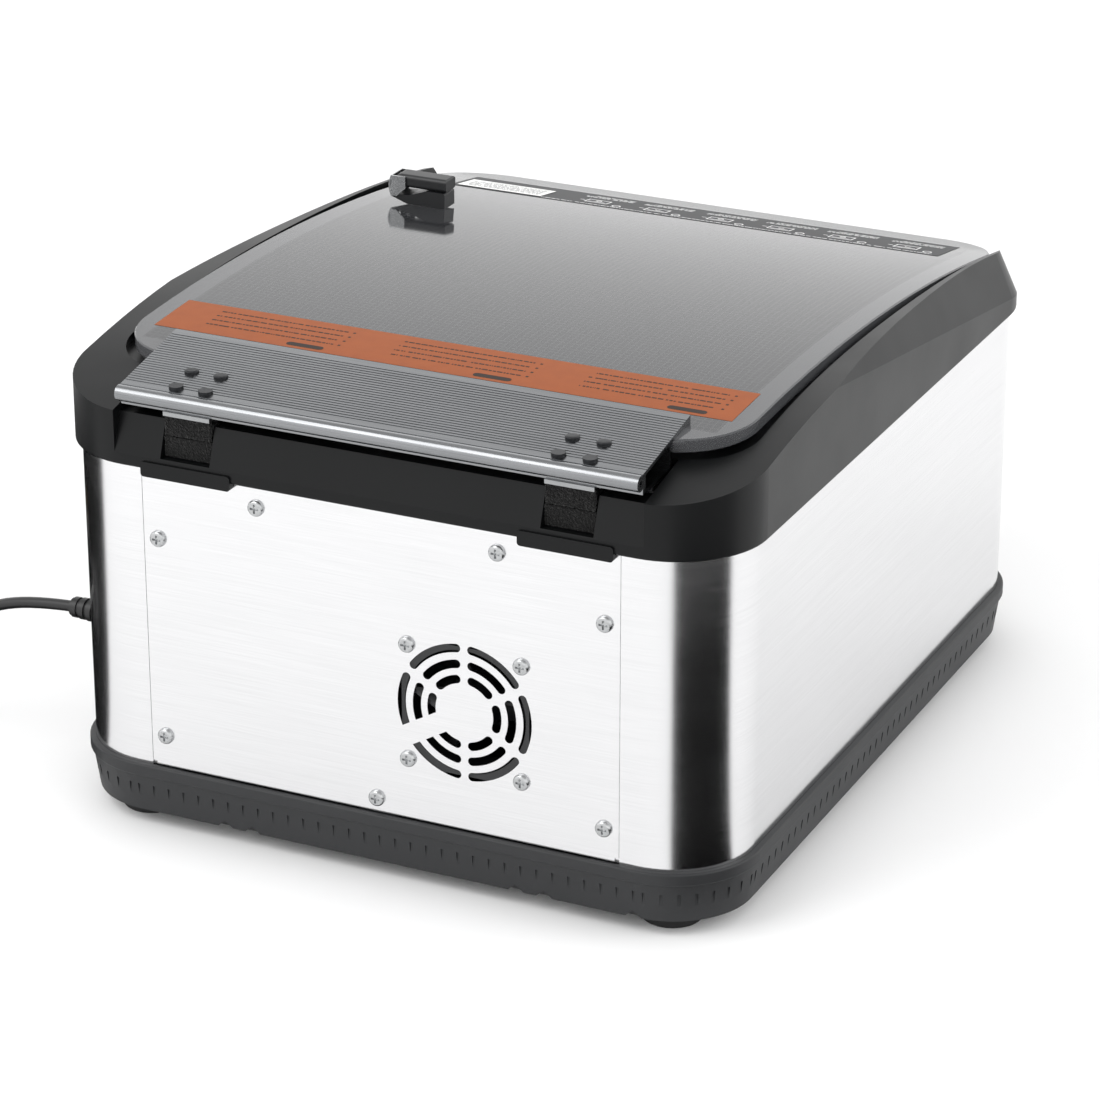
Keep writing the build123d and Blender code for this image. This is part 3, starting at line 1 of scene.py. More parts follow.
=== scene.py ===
# %% [markdown]
# # A tabletop chamber vacuum sealer
#
# A kitchen machine that draws the air out of a food pouch and welds its mouth. A bright
# stainless wrap stands on a black moulded tray, a black moulded bezel closes its top, and a
# smoked lid arches over the chamber. The machine is seen from behind, so the ribbed
# aluminium hinge rail, the fan grille and the rear screws carry most of the look.
#
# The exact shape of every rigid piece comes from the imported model. This lesson adds what
# the shape alone lacks: finishes, printed films, felt, the mains lead, light and a camera.
# Lengths are in metres, X runs to the right of someone facing the controls, -Y is the front
# and the feet stand on Z = 0.

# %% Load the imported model
import json
import math

import bmesh
import bpy
from mathutils import Matrix, Vector, noise


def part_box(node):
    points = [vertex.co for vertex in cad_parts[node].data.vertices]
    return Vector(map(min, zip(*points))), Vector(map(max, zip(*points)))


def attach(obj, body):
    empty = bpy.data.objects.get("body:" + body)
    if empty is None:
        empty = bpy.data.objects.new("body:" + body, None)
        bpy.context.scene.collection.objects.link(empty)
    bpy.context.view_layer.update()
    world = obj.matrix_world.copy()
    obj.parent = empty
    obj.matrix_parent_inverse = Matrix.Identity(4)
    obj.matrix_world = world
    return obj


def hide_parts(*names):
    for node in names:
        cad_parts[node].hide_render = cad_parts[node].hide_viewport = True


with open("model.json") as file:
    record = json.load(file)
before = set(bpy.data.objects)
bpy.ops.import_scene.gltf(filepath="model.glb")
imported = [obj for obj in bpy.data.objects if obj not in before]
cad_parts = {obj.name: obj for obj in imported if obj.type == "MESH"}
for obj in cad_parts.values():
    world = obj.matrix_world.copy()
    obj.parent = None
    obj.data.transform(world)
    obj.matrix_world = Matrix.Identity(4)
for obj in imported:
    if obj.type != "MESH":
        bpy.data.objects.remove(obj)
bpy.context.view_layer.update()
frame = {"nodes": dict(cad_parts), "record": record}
nodes = frame["nodes"]
mm = 0.001

# %% [markdown]
# ## Camera
#
# A long lens from about two and a half metres keeps the sides nearly parallel, as in a
# catalogue picture. The place, heading and pitch are plain numbers here. The heading is the
# angle from looking along -Y towards +X, and the pitch is how far the lens points down.

# %% Camera
camera_place = Vector((-0.9940, 2.1340, 1.1122))
camera_heading = 0.4399
camera_pitch = 0.4026
lens_mm = 135.2

camera_data = bpy.data.cameras.new("studio_camera")
camera_data.sensor_width = 36.0
camera_data.lens = lens_mm
camera_data.clip_end = 50.0
camera = bpy.data.objects.new("studio_camera", camera_data)
bpy.context.scene.collection.objects.link(camera)
level = Vector((-math.cos(camera_heading), -math.sin(camera_heading), 0.0))
ahead = Vector((
    math.sin(camera_heading) * math.cos(camera_pitch),
    -math.cos(camera_heading) * math.cos(camera_pitch),
    -math.sin(camera_pitch),
))
upward = level.cross(ahead)
turn = Matrix((level, upward, -ahead)).transposed()
camera.matrix_world = Matrix.Translation(camera_place) @ turn.to_4x4()
bpy.context.scene.camera = camera
print("camera distance, m:", round(camera_place.length, 2))

# %% [markdown]
# ## Mains lead
#
# The lead leaves a ribbed strain relief on the machine's side, drops to the table under its
# own weight and is wound into a neat coil, as it comes out of the box. One smooth NURBS
# curve carries all of it: the drop is a handful of control points, and the coil is sixteen
# control points to a turn. The turns lie three abreast in two layers, and where one turn
# ends and the next begins the wire steps sideways by one diameter.

# %% Lead route
lead_diameter = 7.0 * mm
lead_route = [
    (0.2395, 0.1900, 0.1025), (0.2660, 0.1900, 0.1010), (0.2970, 0.1904, 0.0930),
    (0.3260, 0.1908, 0.0750), (0.3500, 0.1906, 0.0500), (0.3770, 0.1903, 0.0270),
    (0.4080, 0.1901, 0.0110), (0.4400, 0.1900, 0.0046),
]
coil_x, coil_y = 0.4700, 0.1443
column_radii = [0.0457, 0.0385, 0.0313]     # outer, middle and inner turns
layer_heights = [0.0037, 0.0109]            # lower and upper layer
points_per_turn = 16
# what the winding does: from this many degrees on, the wire is at this column and layer
winding = [
    (-90, 0, 0), (215, 0, 0), (255, 1, 0), (575, 1, 0), (615, 2, 0), (895, 2, 0),
    (935, 2, 1), (1215, 2, 1), (1255, 1, 1), (1575, 1, 1), (1615, 0, 1), (1800, 0, 1),
]


def wound(degrees_round):
    """Radius and height of the wire's middle at an angle counted along the whole winding."""
    for (a0, c0, l0), (a1, c1, l1) in zip(winding, winding[1:]):
        if degrees_round <= a1:
            t = (degrees_round - a0) / (a1 - a0)
            radius = column_radii[c0] + t * (column_radii[c1] - column_radii[c0])
            height = layer_heights[l0] + t * (layer_heights[l1] - layer_heights[l0])
            return radius, height
    return column_radii[0], layer_heights[1]


step = 360.0 / points_per_turn
shrink = (6 + 2 * math.cos(math.radians(step))) / 8     # the curve runs inside its points
turns_end = winding[-1][0]
for i in range(int((turns_end + 90) / step) + 1):
    along = -90 + i * step
    radius, height = wound(along)
    a = math.radians(along)
    reach = radius / shrink
    lead_route.append((coil_x + reach * math.cos(a), coil_y - reach * math.sin(a), height))
lead_route += [
    (0.5157, 0.1103, 0.0086), (0.5117, 0.0803, 0.0046), (0.5037, 0.0523, 0.0064),
    (0.4997, 0.0243, 0.0110), (0.4997, 0.0160, 0.0110),
]

# %% Lead as one NURBS curve
lead_curve = bpy.data.curves.new("mains_flex", "CURVE")
lead_curve.dimensions = "3D"
lead_curve.bevel_depth = 1.0      # each point's radius is the real one
lead_curve.bevel_resolution = 5
lead_curve.resolution_u = 6
lead_curve.use_fill_caps = True
spline = lead_curve.splines.new("NURBS")
spline.points.add(len(lead_route) - 1)
for point, place in zip(spline.points, lead_route):
    point.co = (*place, 1.0)
    point.radius = lead_diameter / 2
spline.order_u = 3
spline.use_endpoint_u = True
lead = bpy.data.objects.new("mains_flex", lead_curve)
bpy.context.scene.collection.objects.link(lead)
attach(lead, "housing")
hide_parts("mains_lead", "lead_coil", "plug_lead")

# %% [markdown]
# ## Coil tie
#
# A hook-and-loop strap holds the coil. It could be a bent cylinder, but a strap is flat, so
# it is built as a closed band: a rounded rectangle a little larger than the bundle, swept
# round it.

# %% Meshes from lists of corners
def mesh_piece(name, corners, faces, smooth=False):
    """A mesh object from corner points and faces, its normals pointing outwards."""
    data = bpy.data.meshes.new(name)
    data.from_pydata([tuple(c) for c in corners], [], faces)
    shell = bmesh.new()
    shell.from_mesh(data)
    bmesh.ops.recalc_face_normals(shell, faces=shell.faces)
    shell.to_mesh(data)
    shell.free()
    for face in data.polygons:
        face.use_smooth = smooth
    piece = bpy.data.objects.new(name, data)
    bpy.context.scene.collection.objects.link(piece)
    return piece


def ring_outline(half_wide, half_high, corner, steps=5):
    """A rounded rectangle about the origin, as (across, up) points."""
    outline = []
    for quarter, (sx, sy) in enumerate([(1, 1), (-1, 1), (-1, -1), (1, -1)]):
        for i in range(steps + 1):
            a = math.radians(90 * (quarter + i / steps))
            across = sx * (half_wide - corner) + corner * math.cos(a)
            outline.append((across, sy * (half_high - corner) + corner * math.sin(a)))
    return outline


# %% Coil tie
tie_angle = math.radians(-30)
tie_width = 12.0 * mm
bundle_half = 11.1 * mm
bundle_top = 15.1 * mm
tie_sheet = 0.9 * mm
tie_middle = Vector(
    (coil_x + 0.0385 * math.cos(tie_angle), coil_y + 0.0385 * math.sin(tie_angle), 0))
tie_across = Vector((math.cos(tie_angle), math.sin(tie_angle), 0))
tie_along = Vector((-math.sin(tie_angle), math.cos(tie_angle), 0))
inner = ring_outline(bundle_half, bundle_top / 2, 3.5 * mm)
outer = ring_outline(bundle_half + tie_sheet, bundle_top / 2, 4.0 * mm)
tie_corners, tie_faces = [], []
for side in (-0.5, 0.5):
    for outline in (inner, outer):
        for across, up in outline:
            height = max(up + bundle_top / 2 - (0.0 if outline is outer else tie_sheet), 0.1 * mm)
            place = tie_middle + tie_across * across + tie_along * side * tie_width
            tie_corners.append(place + Vector((0, 0, height)))
around = len(inner)
for i in range(around):
    j = (i + 1) % around
    near_in, near_out, far_in, far_out = 0, around, 2 * around, 3 * around
    tie_faces += [
        (near_in + i, near_in + j, near_out + j, near_out + i),
        (far_in + i, far_out + i, far_out + j, far_in + j),
        (near_out + i, near_out + j, far_out + j, far_out + i),
        (near_in + i, far_in + i, far_in + j, near_in + j),
    ]
coil_tie = mesh_piece("coil_tie", tie_corners, tie_faces)
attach(coil_tie, "housing")
print("coil tie width, mm:", round(tie_width / mm))

# %% [markdown]
# ## Colours and nodes
#
# Colours are written as sRGB hex values, as a paint chart gives them, and one function turns
# them into the linear values that Blender mixes. A second function adds a node with its
# settings and links, so that each finish below reads as a short recipe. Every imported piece
# has its object at the origin, so Object coordinates are metres and a pattern's scale is
# simply one over its real size.

# %% Colour and node helpers
def linear(hex_colour):
    """An sRGB hex colour as linear red, green, blue and an alpha of one."""
    parts = [int(hex_colour[i:i + 2], 16) / 255 for i in (1, 3, 5)]
    return [p / 12.92 if p <= 0.04045 else ((p + 0.055) / 1.055) ** 2.4 for p in parts] + [1.0]


def add(tree, kind, inputs=None, **settings):
    """Adds a node, sets its properties, then gives its inputs values or links."""
    node = tree.nodes.new(kind)
    for name, value in settings.items():
        setattr(node, name, value)
    for name, value in (inputs or {}).items():
        if isinstance(value, bpy.types.NodeSocket):
            tree.links.new(value, node.inputs[name])
        else:
            node.inputs[name].default_value = value
    return node


def new_finish(name, **constants):
    """An empty material with a Principled shader, and the object coordinates to pattern it by."""
    material = bpy.data.materials.new(name)
    material.use_nodes = True
    tree = material.node_tree
    tree.nodes.clear()
    shader = add(tree, "ShaderNodeBsdfPrincipled")
    for socket, value in constants.items():
        shader.inputs[socket.replace("_", " ")].default_value = value
    add(tree, "ShaderNodeOutputMaterial", {"Surface": shader.outputs["BSDF"]})
    where = add(tree, "ShaderNodeTexCoord").outputs["Object"]
    return material, tree, shader, where


# the two colours of a Mix node sit at these inputs, and its blended colour at this output
FIRST, SECOND, BLEND = 6, 7, 2

# %% [markdown]
# ## Moulded plastics and rubbers
#
# Black ABS and polypropylene aren't flat black. The mould's spark texture breaks the gloss
# into fine grain, and handling leaves broad, faint changes of gloss. One recipe serves them
# all: a fine noise for the grain, a broad one for the handling, and a bump of a few
# hundredths of a millimetre. Size of grain, colours and gloss are what sets them apart.

# %% Moulded finishes
def moulded(name, dark, light, grain_mm, gloss, spread, relief_mm, **constants):
    """A moulded plastic or rubber: grain size, roughness, its spread, and height of the grain."""
    material, tree, shader, where = new_finish(name, **constants)
    grain = add(tree, "ShaderNodeTexNoise", {
        "Vector": where, "Scale": 1 / (grain_mm * mm), "Detail": 3.0,
    })
    handling = add(tree, "ShaderNodeTexNoise", {
        "Vector": where, "Scale": 1 / (60 * mm), "Detail": 4.0,
    })
    colour = add(tree, "ShaderNodeMix", {
        "Factor": handling.outputs["Fac"], FIRST: linear(dark), SECOND: linear(light),
    }, data_type="RGBA")
    gloss_map = add(tree, "ShaderNodeMapRange", {
        "Value": handling.outputs["Fac"], "From Min": 0.3, "From Max": 0.7,
        "To Min": gloss - spread, "To Max": gloss + spread,
    })
    bump = add(tree, "ShaderNodeBump", {
        "Height": grain.outputs["Fac"], "Strength": 1.0, "Distance": relief_mm * mm,
    })
    tree.links.new(colour.outputs[BLEND], shader.inputs["Base Color"])
    tree.links.new(gloss_map.outputs["Result"], shader.inputs["Roughness"])
    tree.links.new(bump.outputs["Normal"], shader.inputs["Normal"])
    return material


finishes = {
    "tray_plastic": moulded(
        "spark_textured_black_polypropylene", "#1A1B1D", "#242527", 0.7, 0.55, 0.05, 0.045,
        IOR=1.49),
    "bezel_plastic": moulded(
        "satin_black_abs", "#08090A", "#0D0E0F", 0.9, 0.34, 0.04, 0.018, IOR=1.54,
        Specular_IOR_Level=0.18),
    "black_plastic": moulded(
        "moulded_black_nylon", "#101113", "#191A1C", 0.6, 0.42, 0.06, 0.03, IOR=1.53),
    "foot_rubber": moulded(
        "moulded_black_rubber", "#0C0C0D", "#141415", 1.2, 0.78, 0.05, 0.06, IOR=1.52),
    "fascia_plastic": moulded(
        "satin_dark_grey_abs", "#1B1D20", "#25272A", 0.6, 0.38, 0.04, 0.02, IOR=1.54),
    "button_rubber": moulded(
        "matt_grey_silicone_rubber", "#8E9296", "#A3A7AB", 0.8, 0.55, 0.04, 0.03, IOR=1.43),
    "gasket_silicone": moulded(
        "grey_extruded_silicone", "#5A5C5F", "#6B6D70", 1.5, 0.6, 0.06, 0.05, IOR=1.43),
    "strip_silicone": moulded(
        "red_moulded_silicone", "#8C2E22", "#A33A2B", 1.2, 0.5, 0.05, 0.04, IOR=1.43),
    "white_plate": moulded(
        "white_cast_polyethylene", "#DCDCD6", "#EAE9E3", 1.6, 0.5, 0.05, 0.05, IOR=1.51),
    "hose_rubber": moulded(
        "black_extruded_rubber_hose", "#0F0F10", "#171718", 1.8, 0.6, 0.06, 0.07, IOR=1.52),
    "lead_pvc": moulded(
        "extruded_black_pvc", "#0B0B0C", "#131314", 1.0, 0.42, 0.05, 0.02, IOR=1.54),
    "plug_plastic": moulded(
        "moulded_black_pvc", "#0C0C0D", "#151516", 0.8, 0.4, 0.06, 0.04, IOR=1.54),
    "display_plastic": moulded(
        "glossy_black_acrylic", "#050607", "#08090B", 3.0, 0.09, 0.02, 0.002, IOR=1.49),
    "pump_casting": moulded(
        "sand_cast_grey_aluminium_paint", "#8C8F92", "#A2A5A8", 1.1, 0.5, 0.08, 0.12, Metallic=0.6),
    "transformer_iron": moulded(
        "varnished_laminated_iron", "#2B2624", "#4A423D", 0.5, 0.45, 0.1, 0.08, Metallic=0.5),
}
print("moulded finishes:", len(finishes))

# %% [markdown]
# ## Brushed and turned metals
#
# The wrap is stainless sheet, brushed along its length, so its scratches run level round
# the machine. Scratches come from a noise that is stretched along the brushing and is very
# fine across it. They shade the roughness and stand as a bump. Anisotropy then draws every
# reflection out across the scratches, which is why the corners show tall, soft streaks.
# Hinge rail and bars are aluminium with the same recipe and a finer, greyer look.

# %% Brushed finishes
def brushed(name, dark, light, stretch_mm, gloss, spread, relief_mm, **constants):
    """A brushed metal; stretch_mm is the length of a scratch along X, Y and Z."""
    material, tree, shader, where = new_finish(name, Metallic=1.0, **constants)
    along = add(tree, "ShaderNodeMapping", {
        "Vector": where, "Scale": [1 / (s * mm) for s in stretch_mm],
    })
    scratches = add(tree, "ShaderNodeTexNoise", {
        "Vector": along.outputs["Vector"], "Scale": 1.0, "Detail": 4.0,
    })
    cloud = add(tree, "ShaderNodeTexNoise", {
        "Vector": where, "Scale": 1 / (90 * mm), "Detail": 2.0,
    })
    colour = add(tree, "ShaderNodeMix", {
        "Factor": scratches.outputs["Fac"], FIRST: linear(dark), SECOND: linear(light),
    }, data_type="RGBA")
    wear = add(tree, "ShaderNodeMath", {
        0: scratches.outputs["Fac"], 1: cloud.outputs["Fac"],
    }, operation="MULTIPLY")
    gloss_map = add(tree, "ShaderNodeMapRange", {
        "Value": wear.outputs["Value"], "From Min": 0.12, "From Max": 0.4,
        "To Min": gloss - spread, "To Max": gloss + spread,
    })
    bump = add(tree, "ShaderNodeBump", {
        "Height": scratches.outputs["Fac"], "Strength": 0.6, "Distance": relief_mm * mm,
    })
    tree.links.new(colour.outputs[BLEND], shader.inputs["Base Color"])
    tree.links.new(gloss_map.outputs["Result"], shader.inputs["Roughness"])
    tree.links.new(bump.outputs["Normal"], shader.inputs["Normal"])
    return material


finishes["stainless"] = brushed(
    "brushed_stainless_steel", "#D3D3D4", "#ECECED", (60, 60, 0.5), 0.18, 0.03, 0.004, Anisotropic=0.5)
finishes["extrusion_aluminium"] = brushed(
    "brushed_anodised_aluminium", "#77797B", "#9A9B9D", (50, 0.5, 0.5), 0.24, 0.05, 0.006,
    Anisotropic=0.4)
finishes["bar_aluminium"] = brushed(
    "mill_finish_aluminium", "#A9ABAD", "#C2C4C6", (40, 0.7, 0.7), 0.34, 0.06, 0.008)
finishes["hinge_steel"] = brushed(
    "zinc_plated_steel_sheet", "#8D8F91", "#A9AAAB", (20, 20, 1.0), 0.36, 0.08, 0.006)
finishes["pin_steel"] = brushed(
    "turned_steel", "#9C9EA0", "#B8BABB", (0.4, 8, 8), 0.26, 0.05, 0.004)
finishes["screw_steel"] = brushed(
    "nickel_plated_screw_steel", "#9EA0A1", "#C6C7C8", (1.5, 1.5, 1.5), 0.24, 0.06, 0.01)
finishes["dark_screw"] = brushed(
    "blackened_screw_steel", "#2E2F31", "#434446", (1.2, 1.2, 1.2), 0.42, 0.06, 0.02)
finishes["ribbon_metal"] = brushed(
    "nickel_chrome_ribbon", "#A5A19A", "#BDB8B0", (30, 0.4, 0.4), 0.3, 0.05, 0.004)
finishes["plug_brass"] = brushed(
    "drawn_brass", "#B08D4A", "#CBA960", (0.6, 0.6, 12), 0.26, 0.05, 0.004)
print("finishes so far:", len(finishes))

# %% [markdown]
# ## Smoked lid
#
# The lid is acrylic sheet dyed smoke grey. Light that passes through it is filtered, so the
# base colour is the tint and the transmission is high, and what the eye mostly meets is the
# clear gloss of the room on its arch. The faint square mesh is the sheet's printed backing,
# too fine to read, so its lines are drawn four millimetres apart. A plain, lighter border
# runs round it.

# %% Smoked acrylic
smoked, tree, shader, where = new_finish(
    "smoked_cast_acrylic", IOR=1.49, Transmission_Weight=0.6, Specular_IOR_Level=0.55)
half_pitch = 2.0 * mm
spot = add(tree, "ShaderNodeSeparateXYZ", {"Vector": where})
lines = []
for axis in ("X", "Y"):
    count = add(tree, "ShaderNodeMath", {
        0: spot.outputs[axis], 1: 1 / half_pitch,
    }, operation="MULTIPLY")
    saw = add(tree, "ShaderNodeMath", {0: count.outputs["Value"], 1: 1.0}, operation="PINGPONG")
    lines.append(add(tree, "ShaderNodeMath", {
        0: saw.outputs["Value"], 1: 0.16,
    }, operation="LESS_THAN"))
net = add(tree, "ShaderNodeMath", {
    0: lines[0].outputs["Value"], 1: lines[1].outputs["Value"],
}, operation="MAXIMUM")
haze = add(tree, "ShaderNodeTexNoise", {"Vector": where, "Scale": 1 / (70 * mm), "Detail": 2.0})
tint = add(tree, "ShaderNodeMix", {
    "Factor": net.outputs["Value"], FIRST: linear("#3F4043"), SECOND: linear("#5C5D60"),
}, data_type="RGBA")
beside = add(tree, "ShaderNodeMath", {0: spot.outputs["X"]}, operation="ABSOLUTE")
beside = add(tree, "ShaderNodeMath", {
    0: beside.outputs["Value"], 1: 181.0 * mm,
}, operation="GREATER_THAN")
beyond = add(tree, "ShaderNodeMath", {0: spot.outputs["Y"], 1: -19.0 * mm}, operation="SUBTRACT")
beyond = add(tree, "ShaderNodeMath", {0: beyond.outputs["Value"]}, operation="ABSOLUTE")
beyond = add(tree, "ShaderNodeMath", {
    0: beyond.outputs["Value"], 1: 212.0 * mm,
}, operation="GREATER_THAN")
border = add(tree, "ShaderNodeMath", {
    0: beside.outputs["Value"], 1: beyond.outputs["Value"],
}, operation="MAXIMUM")
tint = add(tree, "ShaderNodeMix", {
    "Factor": border.outputs["Value"], FIRST: tint.outputs[BLEND], SECOND: linear("#6E6F72"),
}, data_type="RGBA")
gloss_map = add(tree, "ShaderNodeMapRange", {
    "Value": haze.outputs["Fac"], "To Min": 0.05, "To Max": 0.11,
})
tree.links.new(tint.outputs[BLEND], shader.inputs["Base Color"])
tree.links.new(gloss_map.outputs["Result"], shader.inputs["Roughness"])
finishes["smoked_sheet"] = smoked
print("mesh lines, mm apart:", 2 * half_pitch / mm)

# %% Clear gauge lens
lens_finish, tree, shader, where = new_finish(
    "clear_moulded_polycarbonate", IOR=1.585, Transmission_Weight=1.0)
haze = add(tree, "ShaderNodeTexNoise", {"Vector": where, "Scale": 1 / (12 * mm), "Detail": 2.0})
gloss_map = add(tree, "ShaderNodeMapRange", {
    "Value": haze.outputs["Fac"], "To Min": 0.02, "To Max": 0.06,
})
tree.links.new(gloss_map.outputs["Result"], shader.inputs["Roughness"])
shader.inputs["Base Color"].default_value = linear("#F4F6F6")
finishes["clear_plastic"] = lens_finish
print("finishes so far:", len(finishes))

# %% [markdown]
# ## Felt and hook-and-loop
#
# Felt is a mat of fibres: no gloss, a soft sheen at grazing angles, and bright flecks where
# single fibres catch the light. These flecks are painted highlights: the raised fibre clumps
# are coloured lighter. Two noises make it, one of fibre clumps about a millimetre across and
# one of fibre ends, and a strong bump throws the small shadows between them.

# %% Needled felt
felt, tree, shader, where = new_finish(
    "needled_black_felt", Roughness=0.95, Specular_IOR_Level=0.2, Sheen_Weight=0.12,
    Sheen_Roughness=0.5, IOR=1.45)
clumps = add(tree, "ShaderNodeTexNoise", {
    "Vector": where, "Scale": 1 / (1.3 * mm), "Detail": 5.0, "Roughness": 0.7,
})
ends = add(tree, "ShaderNodeTexVoronoi", {"Vector": where, "Scale": 1 / (0.8 * mm)})
# painted highlight: the tops of the fibre clumps are coloured lighter, as fibres catching the light
painted_glint = add(tree, "ShaderNodeMapRange", {
    "Value": clumps.outputs["Fac"], "From Min": 0.52, "From Max": 0.68, "To Min": 0.0, "To Max": 1.0,
})
colour = add(tree, "ShaderNodeMix", {
    "Factor": painted_glint.outputs["Result"], FIRST: linear("#050505"), SECOND: linear("#2C2C2B"),
}, data_type="RGBA")
height = add(tree, "ShaderNodeMath", {
    0: clumps.outputs["Fac"], 1: ends.outputs["Distance"],
}, operation="ADD")
bump = add(tree, "ShaderNodeBump", {
    "Height": height.outputs["Value"], "Strength": 1.0, "Distance": 0.6 * mm,
})
tree.links.new(colour.outputs[BLEND], shader.inputs["Base Color"])
tree.links.new(bump.outputs["Normal"], shader.inputs["Normal"])
finishes["felt"] = felt
print("made:", felt.name)

# %% [markdown]
# ## Woven tape, winding, boards and dial
#
# These sit inside or on the front. The sealing tape is glass cloth coated with PTFE, so it
# shows a plain weave half a millimetre in pitch, drawn at one millimetre to read. Winding
# wire lies in level rows, each turn with a painted highlight on its crown and painted shade
# in the crease between turns. A circuit board is green lacquer over copper tracks.

# %% Coated glass cloth
glass_tape, tree, shader, where = new_finish("ptfe_coated_glass_cloth", Roughness=0.45, IOR=1.38)
weave = add(tree, "ShaderNodeTexChecker", {
    "Vector": where, "Color1": linear("#8A6A48"), "Color2": linear("#A38259"), "Scale": 1 / (1.0 * mm),
})
bump = add(tree, "ShaderNodeBump", {
    "Height": weave.outputs["Fac"], "Strength": 0.4, "Distance": 0.03 * mm,
})
tree.links.new(weave.outputs["Color"], shader.inputs["Base Color"])
tree.links.new(bump.outputs["Normal"], shader.inputs["Normal"])
finishes["glass_tape"] = glass_tape
print("made:", glass_tape.name)

# %% Enamelled copper winding
winding_finish, tree, shader, where = new_finish(
    "enamelled_copper_wire", Metallic=0.9, Roughness=0.3)
# painted highlight and shade: each row of wire is coloured lighter on its crown and darker in the
# crease between rows, following the bump
rows = add(tree, "ShaderNodeTexWave", {
    "Vector": where, "Scale": 1 / (6.3 * mm),
}, bands_direction="Z")
colour = add(tree, "ShaderNodeMix", {
    "Factor": rows.outputs["Fac"], FIRST: linear("#6B3218"), SECOND: linear("#B4663A"),
}, data_type="RGBA")
bump = add(tree, "ShaderNodeBump", {
    "Height": rows.outputs["Fac"], "Strength": 1.0, "Distance": 0.3 * mm,
})
tree.links.new(colour.outputs[BLEND], shader.inputs["Base Color"])
tree.links.new(bump.outputs["Normal"], shader.inputs["Normal"])
finishes["winding_copper"] = winding_finish
print("made:", winding_finish.name)

# %% Lacquered circuit board
board_finish, tree, shader, where = new_finish(
    "green_lacquered_circuit_board", Roughness=0.3, IOR=1.52)
tracks = add(tree, "ShaderNodeTexBrick", {
    "Vector": where, "Color1": linear("#1E5B3A"), "Color2": linear("#1A4F33"),
    "Mortar": linear("#2F7A50"),
    "Scale": 1 / (8 * mm), "Mortar Size": 0.06,
})
bump = add(tree, "ShaderNodeBump", {
    "Height": tracks.outputs["Fac"], "Strength": 0.5, "Distance": 0.04 * mm,
})
tree.links.new(tracks.outputs["Color"], shader.inputs["Base Color"])
tree.links.new(bump.outputs["Normal"], shader.inputs["Normal"])
finishes["circuit_board"] = board_finish
print("made:", board_finish.name)

# %% Printed dial
dial_finish, tree, shader, where = new_finish("printed_white_dial_enamel", Roughness=0.5, IOR=1.5)
speckle = add(tree, "ShaderNodeTexNoise", {"Vector": where, "Scale": 1 / (0.5 * mm), "Detail": 2.0})
colour = add(tree, "ShaderNodeMix", {
    "Factor": speckle.outputs["Fac"], FIRST: linear("#E6E4DC"), SECOND: linear("#F3F1EA"),
}, data_type="RGBA")
tree.links.new(colour.outputs[BLEND], shader.inputs["Base Color"])
finishes["dial_paper"] = dial_finish
print("made:", dial_finish.name)

# %% [markdown]
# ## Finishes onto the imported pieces
#
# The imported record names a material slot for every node, so one loop dresses them all.

# %% Dress every node
for part in frame["record"]["subparts"]:
    data = nodes[part["node"]].data
    data.materials.clear()
    data.materials.append(finishes[part["material_slot"]])
print("nodes dressed:", len(nodes), "with finishes:", len(finishes))
lead.data.materials.append(finishes["lead_pvc"])
coil_tie.data.materials.append(finishes["felt"])

# %% [markdown]
# ## Films on the lid
#
# Three printed films lie on the lid: an orange translucent band along the rear, a dark band
# along the front with small drawings, and a white rating sticker. Each is a slab a tenth of
# a millimetre thick that follows the lid's arch. The arch is part of a cylinder about the X
# direction, so a film is a strip of cells whose height comes from one formula. The text on
# such films is replaced by plain rules and dashes.

# %% The lid's arch
lid_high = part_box("lid_panel")[1]
arch_radius = 1640.0 * mm
arch_apex_y = 75.0 * mm
arch_apex_z = lid_high.z
film_thickness = 0.12 * mm
film_lift = 0.1 * mm


def arch_z(y):
    """Height of the lid's top at depth y."""
    return arch_apex_z - arch_radius + math.sqrt(arch_radius ** 2 - (y - arch_apex_y) ** 2)


def slab(name, outlines, surface, thickness, finish, body):
    """Flat convex outlines laid on a surface and thickened away from it, joined as one piece."""
    corners, faces = [], []
    for outline in outlines:
        start, count = len(corners), len(outline)
        corners += [surface(u, v, 0.0) for u, v in outline]
        corners += [surface(u, v, thickness) for u, v in outline]
        ring = list(range(count))
        faces.append([start + i for i in reversed(ring)])
        faces.append([start + count + i for i in ring])
        faces += [
            (
                start + i, start + (i + 1) % count, start + count + (i + 1) % count,
                start + count + i) for i in ring
        ]
    piece = mesh_piece(name, corners, faces)
    piece.data.materials.append(finish)
    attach(piece, body)
    return piece


def on_lid(lift):
    """A surface for slab that lies a little above the lid."""
    return lambda x, y, up: (x, y, arch_z(y) + lift + up)


# %% Shapes the films are printed with
def bar(u, v, width, height):
    """A rectangle about a middle."""
    w, h = width / 2, height / 2
    return [(u - w, v - h), (u + w, v - h), (u + w, v + h), (u - w, v + h)]


def hoop(u, v, radius, line, count=20, arc=1.0):
    """A drawn circle, or part of one, as short quads."""
    cells = []
    for i in range(count):
        a, b = (2 * math.pi * arc * k / count for k in (i, i + 1))
        cells.append([
            (u + r * math.cos(t), v + r * math.sin(t))
            for r, t in ((radius - line, a), (radius, a), (radius, b), (radius - line, b))
        ])
    return cells


def box_line(u, v, width, height, line):
    """A drawn rectangle as four bars."""
    return [
        bar(u, v + (height - line) / 2, width, line), bar(u, v - (height - line) / 2, width, line),
        bar(u - (width - line) / 2, v, line, height - 2 * line),
        bar(u + (width - line) / 2, v, line, height - 2 * line),
    ]


def pill(u, v, width, height, steps=6):
    """A bar with round ends."""
    radius = height / 2
    outline = []
    for side in (1, -1):
        for i in range(steps + 1):
            a = math.radians(-90 + 180 * i / steps) + (0 if side > 0 else math.pi)
            middle = u + side * (width / 2 - radius)
            outline.append((middle + radius * math.cos(a), v + radius * math.sin(a)))
    return outline


